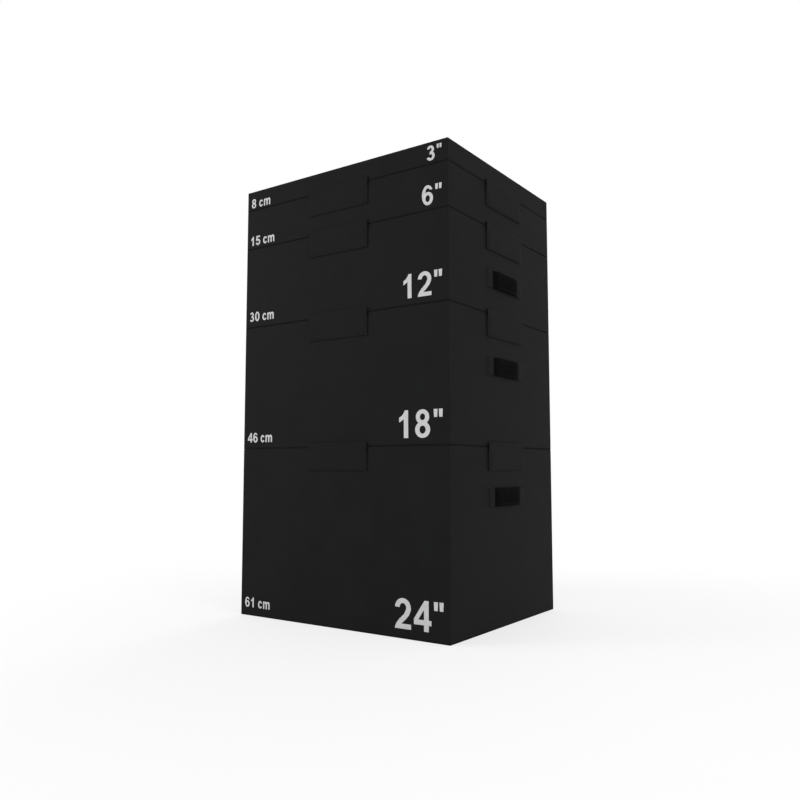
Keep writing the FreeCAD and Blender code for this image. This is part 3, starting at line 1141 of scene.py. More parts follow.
@dataclass
class Flap:
    """Two-ply vinyl flap that hangs over the box below and grips its loop strip."""

    size: BoxSize
    wall: Wall
    drop: float = 80.0 * MM
    lap: float = 16.5 * MM
    inner: float = 3.3 * MM
    outer: float = 6.3 * MM
    corner: float = 3.0 * MM
    edge_round: float = 1.3 * MM
    spacing: float = 8.0 * MM
    hem: float = 5.0 * MM
    top_hem: float = 3.5 * MM
    groove: float = 0.5 * MM
    groove_width: float = 1.0 * MM
    curl: float = 0.5 * MM
    fall: float = 2.1 * MM
    fall_reach: float = 14.0 * MM
    fall_start: float = 0.4
    hook_inner: float = 1.8 * MM
    hook_hem: float = 3.0 * MM
    hook_round: float = 1.2 * MM
    hook_edge: float = 0.5 * MM
    fold_start: float = 12.0 * MM
    fold_end: float = 2.0 * MM
    fold_rows: int = 7
    stitch: Stitch = Stitch()

    @property
    def name(self) -> str:
        """Name of the flap's solid and body."""
        return f"flap_{self.size}_{self.wall.side.name.lower()}"

    @property
    def seam(self) -> float:
        """Height of the joint between the two boxes."""
        return self.size.bottom

    def lift(self, points: np.ndarray) -> np.ndarray:
        """Lets the free rim fall to the wall round the strip and curls its corners a little.

        Args:
            points: rows of (along, up, out).

        Returns:
            The shaped points.
        """
        along, up = np.abs(points[:, 0]), points[:, 1]
        below = ((self.seam - up) / self.drop).clip(0.0, 1.0)
        past_side = (along - TAPE_WIDTH / 2).clip(min=0.0)
        past_low = (self.seam - TAPE_LOW - up).clip(min=0.0)
        free = (below * self.drop / TAPE_HIGH - self.fall_start).clip(0.0, 1.0)
        fall = self.fall * ease(np.hypot(past_side, past_low) / self.fall_reach) * free
        shaped = points.copy()
        shaped[:, 2] += self.curl * (along / (FLAP_WIDTH / 2)) ** 4 * below**2 - fall
        return shaped

    def build(self, hem: Thing) -> None:
        """Makes the flap, its hook strip and its seams, and lets the flap's body carry the hook strip.

        Args:
            hem: the strip that the flap hangs from; not used.
        """
        flap, hook, seams = self.cut(), self.back(), self.sew()
        fold = np.array([(0.0, self.seam + up, self.outer) for up in (self.fold_start, self.fold_end)])
        start, end = self.wall.place(fold)
        for piece in (flap, seams):
            self.name
            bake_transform(piece)
        fit(hook, self.name, "loop_pile")
        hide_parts(self.name)

    def cut(self) -> Thing:
        """Makes the flap itself.

        Returns:
            The flap, with grooves where its hems are sewn.
        """
        half, low, step = FLAP_WIDTH / 2, self.seam - self.drop, self.groove_width
        beside, below = half - self.hem, low + self.hem
        columns = [side * (beside + d) for side in (-1, 1) for d in (-step, 0.0, step)]
        rows = [below + d for d in (-step, 0.0, step)]
        rows += np.linspace(self.seam + self.fold_end, self.seam + self.fold_start, self.fold_rows).tolist()
        block = Block.of(
            (-half, half, self.corner, self.spacing, columns),
            (low, self.seam + self.lap, self.corner, self.spacing, rows),
            (self.inner, self.outer, self.edge_round, self.spacing),
        )
        along, up = np.abs(block.points[:, 0]), block.points[:, 1]
        sunk = (np.abs(along - beside) < step / 2) & (up > below - step / 2)
        sunk |= (np.abs(up - below) < step / 2) & (along < beside + step / 2)
        block.points[block.facing(2, 1) & sunk, 2] -= self.groove
        block.points = self.lift(block.points)
        return Draft(block, self.wall).piece(f"{self.name}_vinyl", TRIM_VINYL, rounded=True)

    def back(self) -> Thing:
        """Makes the hook strip on the inner face.

        Returns:
            The strip.
        """
        half = TAPE_WIDTH / 2
        block = Block.of(
            (-half, half, self.hook_round, self.spacing),
            (self.seam - TAPE_LOW, self.seam - TAPE_HIGH, self.hook_round, self.spacing),
            (self.hook_inner, self.inner + self.edge_round / 2, self.hook_edge, self.spacing),
        )
        return Draft(block, self.wall).piece(f"{self.name}_hooks", HOOKS)

    def sew(self) -> Thing:
        """Lays the stitches round the flap and round the hook strip.

        Returns:
            All of the flap's stitches.
        """
        half, inset = FLAP_WIDTH / 2 - self.hem, TAPE_WIDTH / 2 - self.hook_hem
        low, high = self.seam - self.drop + self.hem, self.seam + self.lap - self.top_hem
        grip_low, grip_high = self.seam - TAPE_LOW + self.hook_hem, self.seam - TAPE_HIGH - self.hook_hem
        border = rectangle(-half, half, low, high, self.outer - self.stitch.sunk)
        grip = rectangle(-inset, inset, grip_low, grip_high, self.outer)
        thread = Draft()
        for path in (border, grip):
            thread.sew(self.stitch, path, self.wall, self.lift)
        return thread.piece(f"{self.name}_stitching", THREAD)


@dataclass
class SewnStrips:
    """Strips sewn flat to the four walls of one box, one at each flap."""

    size: BoxSize
    walls: list[Wall]
    width: float
    low: float
    high: float
    outer: float
    rim_round: float
    edge_round: float
    spacing: float
    stitch: Stitch
    sunk: float = 1.5 * MM
    hem: float = 3.0 * MM

    def seam_path(self) -> np.ndarray:
        """Gives the path of the stitches on one strip, in rows of (along, up, out)."""
        raise NotImplementedError

    def lay(self, name: str, finish: Finish, thread_name: str, rounded: bool) -> Thing:
        """Makes all strips and their stitches.

        Args:
            name: the name of the strips' piece.
            finish: what the strips are made of.
            thread_name: the name of the stitches' piece.
            rounded: whether a subdivision surface rounds the strips.

        Returns:
            The strips as one piece.
        """
        half = self.width / 2
        block = Block.of(
            (-half, half, self.rim_round, self.spacing),
            (self.low, self.high, self.rim_round, self.spacing),
            (-self.sunk, self.outer, self.edge_round, self.spacing),
        )
        strips, thread = Draft(), Draft()
        for wall in self.walls:
            strips.add_block(block, wall)
            thread.sew(self.stitch, self.seam_path(), wall)
        made = strips.piece(f"{name}_{self.size}", finish, rounded)
        fit(thread.piece(f"{thread_name}_{self.size}", THREAD), self.size.body)
        return made


@dataclass
class FlapHems(SewnStrips):
    """Sewn strips round the foot of one box, which its flaps hang from."""

    width: float = FLAP_WIDTH
    low: float = 4.0 * MM
    high: float = 15.0 * MM
    outer: float = 3.0 * MM
    rim_round: float = 1.5 * MM
    edge_round: float = 1.0 * MM
    spacing: float = 10.0 * MM
    stitch: Stitch = Stitch()

    def __post_init__(self) -> None:
        """Takes both heights up from the foot of the box."""
        self.low, self.high = self.size.bottom + self.low, self.size.bottom + self.high

    def seam_path(self) -> np.ndarray:
        """Gives the two ends of one row along the middle."""
        reach, middle = self.width / 2 - self.hem, (self.low + self.high) / 2
        return np.array([(end * reach, middle, self.outer - self.stitch.sunk) for end in (-1, 1)])

    def build(self) -> Thing:
        """Makes the strips, sews them on and returns them as one piece."""
        strips = self.lay("flap_hem_strips", TRIM_VINYL, "flap_hem_stitching", rounded=True)
        return fit(strips, self.size.body, "vinyl", f"flap_hems_{self.size}")


@dataclass
class LoopStrips(SewnStrips):
    """Loop tape under the top edge of one box, one strip behind each flap."""

    width: float = TAPE_WIDTH
    low: float = TAPE_LOW
    high: float = TAPE_HIGH
    outer: float = 1.5 * MM
    rim_round: float = 1.2 * MM
    edge_round: float = 0.6 * MM
    spacing: float = 12.0 * MM
    stitch: Stitch = Stitch(radius=0.35 * MM, bed=0.4)

    def __post_init__(self) -> None:
        """Takes both heights down from the deck of the box."""
        self.low, self.high = self.size.top - self.low, self.size.top - self.high

    def seam_path(self) -> np.ndarray:
        """Gives the corners of a row round the rim."""
        reach, level = self.width / 2 - self.hem, self.outer - self.stitch.sunk
        return rectangle(-reach, reach, self.low + self.hem, self.high - self.hem, level)

    def build(self) -> None:
        """Makes the strips and sews them on."""
        strips = self.lay("loop_tape", LOOPS, "loop_stitching", rounded=False)
        fit(strips, self.size.body, "loop_pile", f"loop_strips_{self.size}")


@dataclass
class CarryHandles:
    """Two webbing handles on one box, each sewn flat at both ends under vinyl tabs."""

    size: BoxSize
    walls: list[Wall]
    length: float = 262.0 * MM
    width: float = 62.0 * MM
    thickness: float = 3.5 * MM
    flat_end: float = 40.0 * MM
    rise: float = 26.0 * MM
    gap: float = 7.0 * MM
    edge_round: float = 1.5 * MM
    selvedge: float = 0.3 * MM
    rib: float = 0.4 * MM
    rib_count: int = 10
    rib_edge: float = 0.5
    grip_hem: float = 7.0 * MM
    press_reach: float = 14.0 * MM
    press_strap: float = 0.7
    press_tab: float = 0.58
    tab_reach: float = 132.5 * MM
    tab_length: float = 41.5 * MM
    tab_width: float = 65.0 * MM
    tab_outer: float = 5.0 * MM
    tab_sunk: float = 1.5 * MM
    tab_hem: float = 6.5 * MM
    tab_round: float = 3.6 * MM
    tab_edges: Pair = (0.5 * MM, 4.2 * MM)
    spacing: float = 6.0 * MM
    stitch: Stitch = Stitch(pitch=4.2 * MM, length=3.2 * MM, bed=0.5)

    @property
    def level(self) -> float:
        """Height of the straps' middle."""
        low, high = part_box(f"handle_straps_{self.size}")
        return (low.z + high.z) / 2

    @property
    def mouth(self) -> float:
        """How far the inner ends of the tabs are from the strap's middle."""
        return self.tab_reach - self.tab_length

    def bow(self, along: np.ndarray) -> np.ndarray:
        """Gives how far the strap stands off the wall at distances from its middle."""
        return self.gap * ease((self.length / 2 - self.flat_end - np.abs(along)) / self.rise)

    def pressed(self, along: np.ndarray) -> np.ndarray:
        """Gives how far the sewn end is pressed down, from 0 along the grip to 1 at the tabs' outer ends."""
        return ease((np.abs(along) - self.tab_reach) / self.press_reach + 1.0)

    def press(self, points: np.ndarray) -> np.ndarray:
        """Presses a tab down towards its outer end.

        Args:
            points: rows of (along, up, out).

        Returns:
            The pressed points.
        """
        shaped = points.copy()
        lower = 1 - self.press_tab * self.pressed(points[:, 0])
        shaped[:, 2] = np.where(points[:, 2] > 0, points[:, 2] * lower, points[:, 2])
        return shaped

    def build(self) -> None:
        """Makes the straps, tabs and stitches."""
        straps, tabs, thread = Draft(), Draft(), Draft()
        for wall in self.walls:
            straps.add_block(self.strap(), wall)
            for path in self.grip_rows():
                thread.sew(self.stitch, path, wall)
            for near, far in ((-self.tab_reach, -self.mouth), (self.mouth, self.tab_reach)):
                tab, paths = self.tab(near, far)
                tabs.add_block(tab, wall)
                for path in paths:
                    thread.sew(self.stitch, path, wall, self.press)
        webbing = straps.piece(f"handle_webbing_{self.size}", WEBBING, rounded=True)
        caps = tabs.piece(f"handle_tab_vinyl_{self.size}", TRIM_VINYL, rounded=True)
        fit(webbing, self.size.body, "webbing", f"handle_straps_{self.size}")
        fit(caps, self.size.body, "vinyl", f"handle_tabs_{self.size}")
        fit(thread.piece(f"handle_stitching_{self.size}", THREAD), self.size.body)

    def strap(self) -> Block:
        """Shapes one strap, with ribs, thicker woven edges, pressed ends and a bowed grip.

        Returns:
            The strap, on its wall.
        """
        half, wide = self.length / 2, self.width / 2
        pitch = 2 * (wide - self.edge_round) / self.rib_count
        block = Block.of(
            (-half, half, self.edge_round, self.spacing),
            (-wide, wide, self.edge_round, pitch / 2),
            (0.0, self.thickness, self.edge_round, self.spacing),
        )
        along, across = block.points[:, 0], block.points[:, 1]
        ribs = np.cos(2 * np.pi * (across + wide - self.edge_round) / pitch) * self.rib / 2
        ribs[np.abs(across) > wide - pitch] = self.selvedge
        block.points[:, 2] += np.where(block.facing(2, 1) & (block.edge < self.rib_edge), ribs, 0.0)
        block.points[:, 2] *= 1 - self.press_strap * self.pressed(along)
        block.points[:, 2] += self.bow(along)
        return block.moved(0.0, self.level, 0.0)

    def grip_rows(self) -> list[np.ndarray]:
        """Finds where the two rows of stitches run along the grip.

        Returns:
            Their paths, in rows of (along, up, out).
        """
        along = np.linspace(-self.mouth, self.mouth, round(2 * self.mouth / self.stitch.pitch) + 1)
        inset, out = self.width / 2 - self.grip_hem, self.bow(along) + self.thickness
        return [np.column_stack((along, np.full_like(along, self.level + up), out)) for up in (-inset, inset)]

    def tab(self, near: float, far: float) -> tuple[Block, list[np.ndarray]]:
        """Shapes one tab over a strap's end.

        Args:
            near: its left side.
            far: its right side.

        Returns:
            The tab, on its wall, and the paths of its box of stitches and the cross in it.
        """
        low, high = self.level - self.tab_width / 2, self.level + self.tab_width / 2
        block = Block.of(
            (near, far, self.tab_round, self.spacing / 2),
            (low, high, self.tab_round, self.spacing),
            (-self.tab_sunk, self.tab_outer, self.tab_edges, self.spacing),
            steps=3,
        )
        block.points = self.press(block.points)
        hem, level = self.tab_hem, self.tab_outer - self.stitch.sunk
        box = rectangle(near + hem, far - hem, low + hem, high - hem, level)
        return block, [box, box[[0, 2]], box[[1, 3]]]


@dataclass
class CoverZip:
    """Zip across the rear wall of one box: tape, welts, teeth, stops, slider and pull."""

    size: BoxSize
    wall: Wall
    tape_outer: float = 0.25 * MM
    tape_sunk: float = 1.4 * MM
    tape_round: float = 0.6 * MM
    tape_edge: float = 0.3 * MM
    tape_spacing: float = 40.0 * MM
    spacing: float = 10.0 * MM
    tooth_pitch: float = 2.6 * MM
    tooth_size: Place = (1.5 * MM, 3.8 * MM, 1.8 * MM)
    tooth_step: float = 1.1 * MM
    stop_size: Place = (4.0 * MM, 8.0 * MM, 2.4 * MM)
    small_round: float = 0.36
    welt_near: float = 9.5 * MM
    welt_far: float = 19.0 * MM
    welt_outer: float = 0.9 * MM
    welt_hem: float = 3.2 * MM
    welt_end: float = 1.0 * MM
    welt_round: float = 1.2 * MM
    welt_edge: float = 0.6 * MM
    welt_spacings: Pair = (12.0 * MM, 4.0 * MM)
    end_margin: float = 4.0 * MM
    broken_edge: float = 0.25 * MM
    broken_steps: int = 2
    sharp_from: float = 40.0
    stitch: Stitch = Stitch(pitch=4.0 * MM, length=3.0 * MM, radius=0.36 * MM, bed=0.5)
    half: float = field(init=False)
    reach: float = field(init=False)
    level: float = field(init=False)

    def __post_init__(self) -> None:
        """Takes half of the tape's length, half of its width and its height from its solid."""
        low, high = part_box(f"zip_{self.size}")
        self.half, self.reach, self.level = (high.x - low.x) / 2, (high.z - low.z) / 2, (low.z + high.z) / 2

    def build(self) -> None:
        """Makes the zip's fixed parts and dresses its metal ones."""
        self.tape()
        self.chain()
        self.welts()
        for part in ("zip_slider", "zip_pull"):
            self.plate(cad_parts[f"{part}_{self.size}"])

    def tape(self) -> None:
        """Makes the woven tape."""
        block = Block.of(
            (-self.half, self.half, self.tape_round, self.tape_spacing),
            (self.level - self.reach, self.level + self.reach, self.tape_round, self.spacing),
            (-self.tape_sunk, self.tape_outer, self.tape_edge, self.spacing),
        )
        tape = Draft(block, self.wall).piece(f"zip_tape_{self.size}", ZIP_CLOTH)
        fit(tape, self.size.body, "zip_tape", f"zip_{self.size}")

    def chain(self) -> None:
        """Makes the teeth, which reach over from the two sides in turn, and the end stops."""
        tooth, stop, teeth, stops = self.small(self.tooth_size), self.small(self.stop_size), Draft(), Draft()
        half = self.half - self.end_margin
        for i in range(1, round(2 * half / self.tooth_pitch)):
            up = self.level + self.tooth_step * (1 if i % 2 else -1)
            teeth.add_block(tooth.moved(-half + i * self.tooth_pitch, up, 0.0), self.wall)
        for end in (-1, 1):
            along = end * (half + self.end_margin - self.stop_size[0] / 2)
            stops.add_block(stop.moved(along, self.level, 0.0), self.wall)
        fit(teeth.piece(f"zip_teeth_{self.size}", TEETH), self.size.body)
        fit(stops.piece(f"zip_stops_{self.size}", PLATING), self.size.body, "zip_metal")

    def small(self, size: Place) -> Block:
        """Makes a small rounded block that stands on the wall.

        Args:
            size: its length, width and height.

        Returns:
            The block, about the middle of its foot.
        """
        length, width, height = size
        turn = min(size) * self.small_round
        ends = ((-length / 2, length / 2), (-width / 2, width / 2), (0.0, height))
        return Block.of(*((*end, turn, part) for end, part in zip(ends, size)), steps=1)

    def welts(self) -> None:
        """Makes the folded vinyl edges along the tape and their stitches."""
        folds, thread = Draft(), Draft()
        half = self.half + self.end_margin
        for sign in (-1, 1):
            low, high = sorted((self.level + sign * self.welt_near, self.level + sign * self.welt_far))
            fold = Block.of(
                (-half, half, self.welt_end, self.welt_spacings[0]),
                (low, high, self.welt_round, self.welt_spacings[1]),
                (-self.tape_sunk, self.welt_outer, self.welt_edge, self.spacing),
            )
            folds.add_block(fold, self.wall)
            up = self.level + sign * (self.welt_near + self.welt_hem)
            out = self.welt_outer - self.stitch.sunk
            thread.sew(self.stitch, np.array([(-self.half, up, out), (self.half, up, out)]), self.wall)
        fit(folds.piece(f"zip_welts_{self.size}", TRIM_VINYL, rounded=True), self.size.body, "vinyl")
        fit(thread.piece(f"zip_stitching_{self.size}", THREAD), self.size.body)

    def plate(self, node: Thing) -> None:
        """Dresses a metal part of the zip and breaks its sharp edges.

        Args:
            node: the part.
        """
        node.data.materials.clear()
        node.data.materials.append(PLATING.material)
        bevel = node.modifiers.new("broken_edges", "BEVEL")
        bevel.width = self.broken_edge
        bevel.segments = self.broken_steps
        bevel.limit_method = "ANGLE"
        bevel.angle_limit = math.radians(self.sharp_from)
        log.info("%s: plated", node.name)


def arc(middle: Pair, reach: Pair, start: float, stop: float, count: int = 28) -> Outline:
    """Gives points along part of an ellipse.

    Args:
        middle: its centre.
        reach: its half width and half height.
        start: first angle in degrees.
        stop: last angle in degrees.
        count: how many steps between them.

    Returns:
        The points.
    """
    angles = [math.radians(start + (stop - start) * i / count) for i in range(count + 1)]
    return [(middle[0] + reach[0] * math.cos(a), middle[1] + reach[1] * math.sin(a)) for a in angles]


def ring(middle: Pair, reach: Pair, sides: int = 48) -> Outline:
    """Gives the points of a whole ellipse."""
    return arc(middle, reach, 0.0, 360.0 * (sides - 1) / sides, sides - 1)


class Lettering:
    """Bold plain figures, drawn one unit high; an outline inside another is a hole."""

    OUTLINES: dict[str, list[Outline]] = {
        "0": [ring((0.33, 0.5), (0.33, 0.51)), ring((0.33, 0.5), (0.14, 0.345))],
        "1": [[(0.205, 0.0), (0.395, 0.0), (0.395, 1.0), (0.25, 1.0), (0.2, 0.9), (0.11, 0.8), (0.0, 0.74),
               (0.0, 0.57), (0.11, 0.62), (0.205, 0.69)]],
        "2": [arc((0.333, 0.69), (0.322, 0.32), 176, -20) + [(0.575, 0.455), (0.46, 0.33), (0.27, 0.165),
              (0.66, 0.165), (0.66, 0.0), (0.0, 0.0), (0.02, 0.08), (0.07, 0.18), (0.18, 0.31), (0.38, 0.49)]
              + arc((0.333, 0.69), (0.135, 0.155), -20, 176)],
        "3": [arc((0.3, 0.735), (0.275, 0.275), 165, -42) + arc((0.315, 0.285), (0.315, 0.295), 56, -163)
              + arc((0.315, 0.285), (0.125, 0.135), -163, 90) + [(0.225, 0.41), (0.245, 0.57)]
              + arc((0.3, 0.735), (0.1, 0.115), -90, 165)],
        "4": [[(0.4, 0.0), (0.585, 0.0), (0.585, 0.205), (0.69, 0.205), (0.69, 0.372), (0.585, 0.372),
               (0.585, 1.0), (0.42, 1.0), (0.0, 0.382), (0.0, 0.205), (0.4, 0.205)],
              [(0.4, 0.372), (0.4, 0.705), (0.175, 0.372)]],
        "5": [[(0.1, 1.0), (0.61, 1.0), (0.61, 0.83), (0.25, 0.83), (0.225, 0.66)]
              + arc((0.325, 0.325), (0.33, 0.335), 104, -166) + arc((0.325, 0.325), (0.14, 0.18), -166, 140)
              + [(0.19, 0.45), (0.03, 0.48)]],
        "6": [arc((0.335, 0.5), (0.335, 0.51), 270, 30, 40) + arc((0.345, 0.72), (0.125, 0.13), 18, 150)
              + arc((0.345, 0.325), (0.31, 0.335), 118, -88, 36),
              ring((0.34, 0.325), (0.13, 0.175))],
        "8": [arc((0.318, 0.285), (0.318, 0.295), 52, -232, 44)
              + arc((0.318, 0.74), (0.283, 0.27), 232, -52, 44),
              ring((0.318, 0.74), (0.11, 0.12)), ring((0.318, 0.285), (0.13, 0.145))],
        '"': [[(x + 0.014, 0.715), (x + 0.146, 0.715), (x + 0.16, 1.0), (x, 1.0)] for x in (0.0, 0.215)],
        "c": [arc((0.29, 0.37), (0.29, 0.385), 28, 332, 20) + arc((0.29, 0.37), (0.115, 0.225), 328, 32, 16)],
        "m": [[(0.0, 0.0), (0.175, 0.0), (0.175, 0.42)] + arc((0.275, 0.44), (0.1, 0.14), 170, 10, 8)
              + [(0.375, 0.0), (0.55, 0.0), (0.55, 0.42)] + arc((0.65, 0.44), (0.1, 0.14), 170, 10, 8)
              + [(0.75, 0.0), (0.925, 0.0), (0.925, 0.5)] + arc((0.71, 0.52), (0.215, 0.235), 5, 125, 8)
              + arc((0.33, 0.52), (0.2, 0.235), 50, 125, 8) + [(0.165, 0.66), (0.165, 0.74), (0.0, 0.74)]],
        " ": [],
    }
    # Where a sign starts in its own space, and how far on the next space starts.
    SPACES: dict[str, Pair] = {
        "1": (0.13, 0.777), '"': (0.06, 0.5), " ": (0.0, 0.34), "m": (0.06, 1.0), "c": (0.03, 0.68),
    }
    PLAIN_SPACE: Pair = (0.05, 0.777)

    @classmethod
    def line(cls, text: str) -> list[Outline]:
        """Sets a line of signs.

        Args:
            text: the signs: figures, inch marks, c, m and spaces.

        Returns:
            All outlines, from the line's left edge on.
        """
        outlines, start = [], 0.0
        for sign in text:
            shift, advance = cls.SPACES.get(sign, cls.PLAIN_SPACE)
            outlines += [[(x + start + shift, z) for x, z in outline] for outline in cls.OUTLINES[sign]]
            start += advance
        left = min(x for outline in outlines for x, _ in outline)
        return [[(x - left, z) for x, z in outline] for outline in outlines]


class Anchor(Enum):
    """Which end of a line of print keeps its place."""

    LEFT = "left"
    RIGHT = "right"


@dataclass
class FrontPrint:
    """A line of light grey print on the front wall of one box."""

    cover: PaddedCover
    wall: Wall
    label: str
    text: str
    height: float
    above: float
    inset: float
    anchor: Anchor
    film: float = 0.25 * MM
    longest: float = 8.0 * MM
    approach: float = 20.0 * MM
    merge: float = 1e-7

    HOLES_OPEN = 2

    def build(self) -> None:
        """Makes the film of ink and lays it on the cover."""
        size = self.cover.size
        flat, faces = self.fill()
        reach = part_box(f"cover_{size}")[1].x
        right = self.anchor is Anchor.RIGHT
        start = reach - self.inset - flat[:, 0].max() if right else self.inset - reach
        spots = self.laid(flat + (start, size.bottom + self.above))
        pairs = [tuple(pair) for i in range(3) for pair in faces[:, [i, (i + 1) % 3]].tolist()]
        inner = {(second, first) for first, second in pairs}
        rim = np.array([pair for pair in pairs if pair not in inner])
        under = len(spots)
        sides = np.column_stack((rim + under, rim[:, ::-1]))
        points = np.concatenate((spots + Z_AXIS * self.film, spots - Z_AXIS * self.film))
        draft = Draft()
        draft.add(self.wall.place(points), faces, faces[:, ::-1] + under, sides)
        fit(draft.piece(f"{self.label}_{size}", INK, smooth=False), size.body)

    def fill(self) -> tuple[np.ndarray, np.ndarray]:
        """Fills the outlines with even triangles, small enough to follow the cover.

        Returns:
            Rows of (along, up) and the triangles that index them.
        """
        rims, loops = [], []
        for outline in Lettering.line(self.text):
            corners = np.array(outline) * self.height
            rim = []
            for near, far in zip(corners, np.roll(corners, -1, axis=0)):
                cuts = math.ceil(np.linalg.norm(far - near) / self.longest)
                rim += [near + (far - near) * i / cuts for i in range(cuts)]
            loops.append(list(range(len(rims), len(rims) + len(rim))))
            rims += rim
        points = np.array(rims)
        ends = zip(points.min(axis=0), points.max(axis=0))
        rows = [np.arange(*end, self.longest) for end in ends]
        inside = np.stack(np.meshgrid(*rows), axis=-1).reshape(-1, 2)
        apart = np.linalg.norm(inside[:, None] - points[None], axis=2).min(axis=1)
        points = np.concatenate((points, inside[apart > self.longest / 2]))
        found, _, faces, *_ = delaunay_2d_cdt(points.tolist(), [], loops, self.HOLES_OPEN, self.merge)
        used, faces = np.unique(np.array(faces), return_inverse=True)
        return np.array(found)[used], faces.reshape(-1, 3)

    def laid(self, flat: np.ndarray) -> np.ndarray:
        """Finds where the cover stands behind each point of the print.

        Args:
            flat: rows of (along, up).

        Returns:
            Rows of (along, up, out).
        """
        surface, out = self.cover.surface(), Vector(self.wall.out)
        start = self.wall.place(np.column_stack((flat, np.full(len(flat), self.approach))))
        hits = [surface.ray_cast(Vector(spot), -out)[0] for spot in start]
        return np.column_stack((flat, [hit.dot(out) - self.wall.distance for hit in hits]))


@dataclass(frozen=True)
class SoftLight:
    """A large square studio lamp."""

    name: str
    place: Place
    aim: Place
    size: float
    power: float

    def build(self) -> None:
        """Hangs the lamp and points it."""
        lamp = bpy.data.lights.new(self.name, "AREA")
        lamp.shape = "SQUARE"
        lamp.size = self.size
        lamp.energy = self.power
        hung = bpy.data.objects.new(self.name, lamp)
        hung.location = self.place
        hung.rotation_euler = (Vector(self.aim) - Vector(self.place)).to_track_quat("-Z", "Y").to_euler()
        hung.visible_camera = False
        bpy.context.scene.collection.objects.link(hung)


@dataclass
class Studio:
    """Pale floor, white surroundings, soft lamps and the camera."""

    floor_size: float = 24.0
    floor_drop: float = 0.4 * MM
    ambient: float = 0.74
    lens: float = 35.0
    camera_place: Place = (1.71474, -2.44828, 0.53857)
    camera_turn: float = 35.0
    camera_rise: float = 5.0
    lamps: tuple[SoftLight, ...] = (
        SoftLight("key_lamp", (-5.0, -4.8, 2.8), aim=(0.0, 0.0, 0.7), size=2.6, power=190.0),
        SoftLight("side_lamp", (6.2, -2.2, 2.2), aim=(0.0, 0.0, 0.7), size=2.6, power=100.0),
        SoftLight("back_lamp", (-1.6, 6.2, 3.2), aim=(0.0, 0.0, 0.7), size=3.2, power=150.0),
    )

    def build(self) -> None:
        """Sets up the whole studio."""
        bpy.context.scene.view_settings.view_transform = "Standard"
        self.floor()
        self.surroundings()
        for lamp in self.lamps:
            lamp.build()
        self.camera()
        log.info("studio set with %d lamps", len(self.lamps))

    def floor(self) -> None:
        """Lays the floor."""
        half = self.floor_size / 2
        draft = Draft()
        draft.add(rectangle(-half, half, -half, half, -self.floor_drop)[:-1], np.array([(0, 1, 2, 3)]))
        draft.piece("studio_floor", FLOOR)

    def surroundings(self) -> None:
        """Makes the world white where it is seen and a soft grey as light."""
        world = bpy.data.worlds.new("studio")
        world.use_nodes = True
        world.node_tree.nodes.clear()
        graph = Graph(world.node_tree)
        light, white = (
            graph.add("ShaderNodeBackground", {"Color": grey(1.0), "Strength": strength}).outputs[0]
            for strength in (self.ambient, 1.0)
        )
        both = graph.add("ShaderNodeMixShader", {0: graph.seen(), 1: light, 2: white})
        graph.add("ShaderNodeOutputWorld", {"Surface": both.outputs[0]})
        bpy.context.scene.world = world

    def camera(self) -> None:
        """Places the camera at the photograph's viewing angle."""
        data = bpy.data.cameras.new("camera")
        data.lens = self.lens
        turn, rise = math.radians(-self.camera_turn), math.radians(self.camera_rise)
        ahead = Vector((math.sin(turn) * math.cos(rise), math.cos(turn) * math.cos(rise), math.sin(rise)))
        camera = bpy.data.objects.new("camera", data)
        camera.location = self.camera_place
        camera.rotation_euler = ahead.to_track_quat("-Z", "Y").to_euler()
        bpy.context.scene.collection.objects.link(camera)
        bpy.context.scene.camera = camera


@dataclass(frozen=True)
class PrintPlan:
    """Where and how large the figures on one box are."""

    size: BoxSize
    inches: str
    metric: str
    height: float
    above: float
    metric_above: float


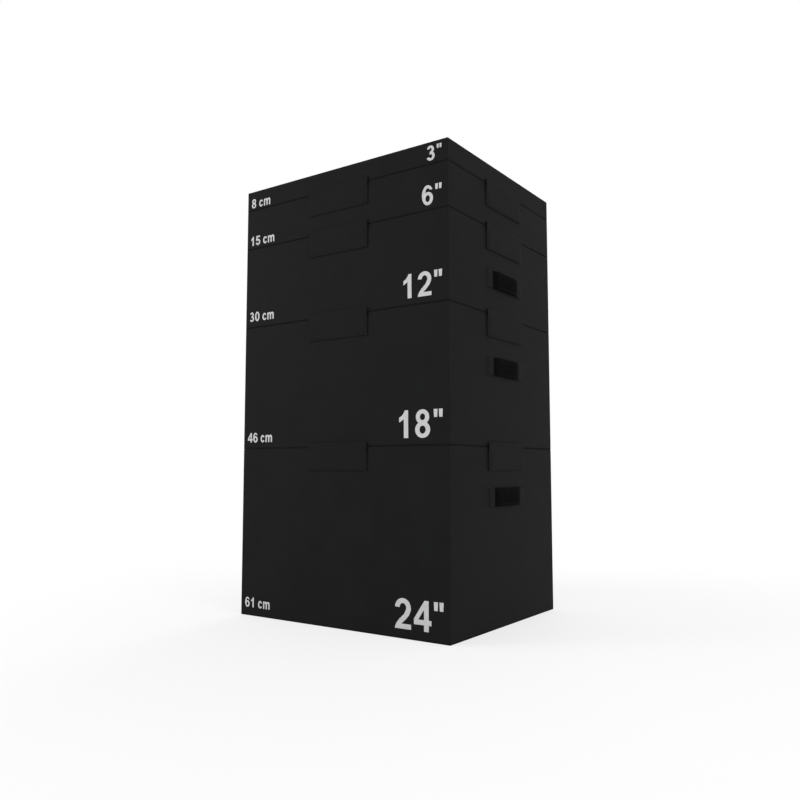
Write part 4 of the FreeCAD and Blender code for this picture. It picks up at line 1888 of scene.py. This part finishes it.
PRINTS = (
    PrintPlan(BoxSize.IN24, '24"', "61 cm", 3.73 * INCH, 1.23 * INCH, 1.2 * INCH),
    PrintPlan(BoxSize.IN18, '18"', "46 cm", 3.53 * INCH, 1.0 * INCH, 0.95 * INCH),
    PrintPlan(BoxSize.IN12, '12"', "30 cm", 3.16 * INCH, 0.97 * INCH, 1.0 * INCH),
    PrintPlan(BoxSize.IN6, '6"', "15 cm", 2.56 * INCH, 0.72 * INCH, 0.6 * INCH),
    PrintPlan(BoxSize.IN3, '3"', "8 cm", 1.95 * INCH, 0.51 * INCH, 0.43 * INCH),
)
FIGURE_INSET = 0.93 * INCH
METRIC_INSET = 0.87 * INCH
METRIC_HEIGHT = 1.4 * INCH


def build_covers() -> dict[BoxSize, PaddedCover]:
    """Makes, swells and dresses the covers, and sews the bases under them.

    Returns:
        The covers by box.
    """
    covers = {size: PaddedCover(size, loaded=size is not BoxSize.IN3) for size in BoxSize}
    for cover in covers.values():
        cover.build()
    SwellRun(list(covers.values())).run()
    for size, cover in covers.items():
        cover.settle()
        cover.dress()
        BasePanel(size).build()
    return covers


def build_trim(walls: dict[Side, Wall]) -> None:
    """Adds flaps, loop strips, handles and zips.

    Args:
        walls: the four walls by side.
    """
    sizes, every = list(BoxSize), list(walls.values())
    for size in sizes[1:]:
        hems = FlapHems(size, every).build()
        for wall in every:
            Flap(size, wall).build(hems)
    for size in sizes[:-1]:
        LoopStrips(size, every).build()
    for size in (BoxSize.IN24, BoxSize.IN18, BoxSize.IN12):
        CarryHandles(size, [walls[Side.RIGHT], walls[Side.LEFT]]).build()
    for size in sizes:
        CoverZip(size, walls[Side.BACK]).build()


def build_prints(covers: dict[BoxSize, PaddedCover], front: Wall) -> None:
    """Prints the heights on the front of each box.

    Args:
        covers: the covers by box.
        front: the front wall.
    """
    for plan in PRINTS:
        inches = ("height_figures", plan.inches, plan.height, plan.above, FIGURE_INSET, Anchor.RIGHT)
        metric = ("metric_figures", plan.metric, METRIC_HEIGHT, plan.metric_above, METRIC_INSET, Anchor.LEFT)
        for line in (inches, metric):
            FrontPrint(covers[plan.size], front, *line).build()


def main() -> None:
    """Builds the stack and its studio."""
    logging.basicConfig(level=logging.INFO, format="%(name)s: %(message)s")
    walls = {side: Wall(side) for side in Side}
    Studio().build()
    covers = build_covers()
    build_trim(walls)
    build_prints(covers, walls[Side.FRONT])


if __name__ == "__main__":
    main()
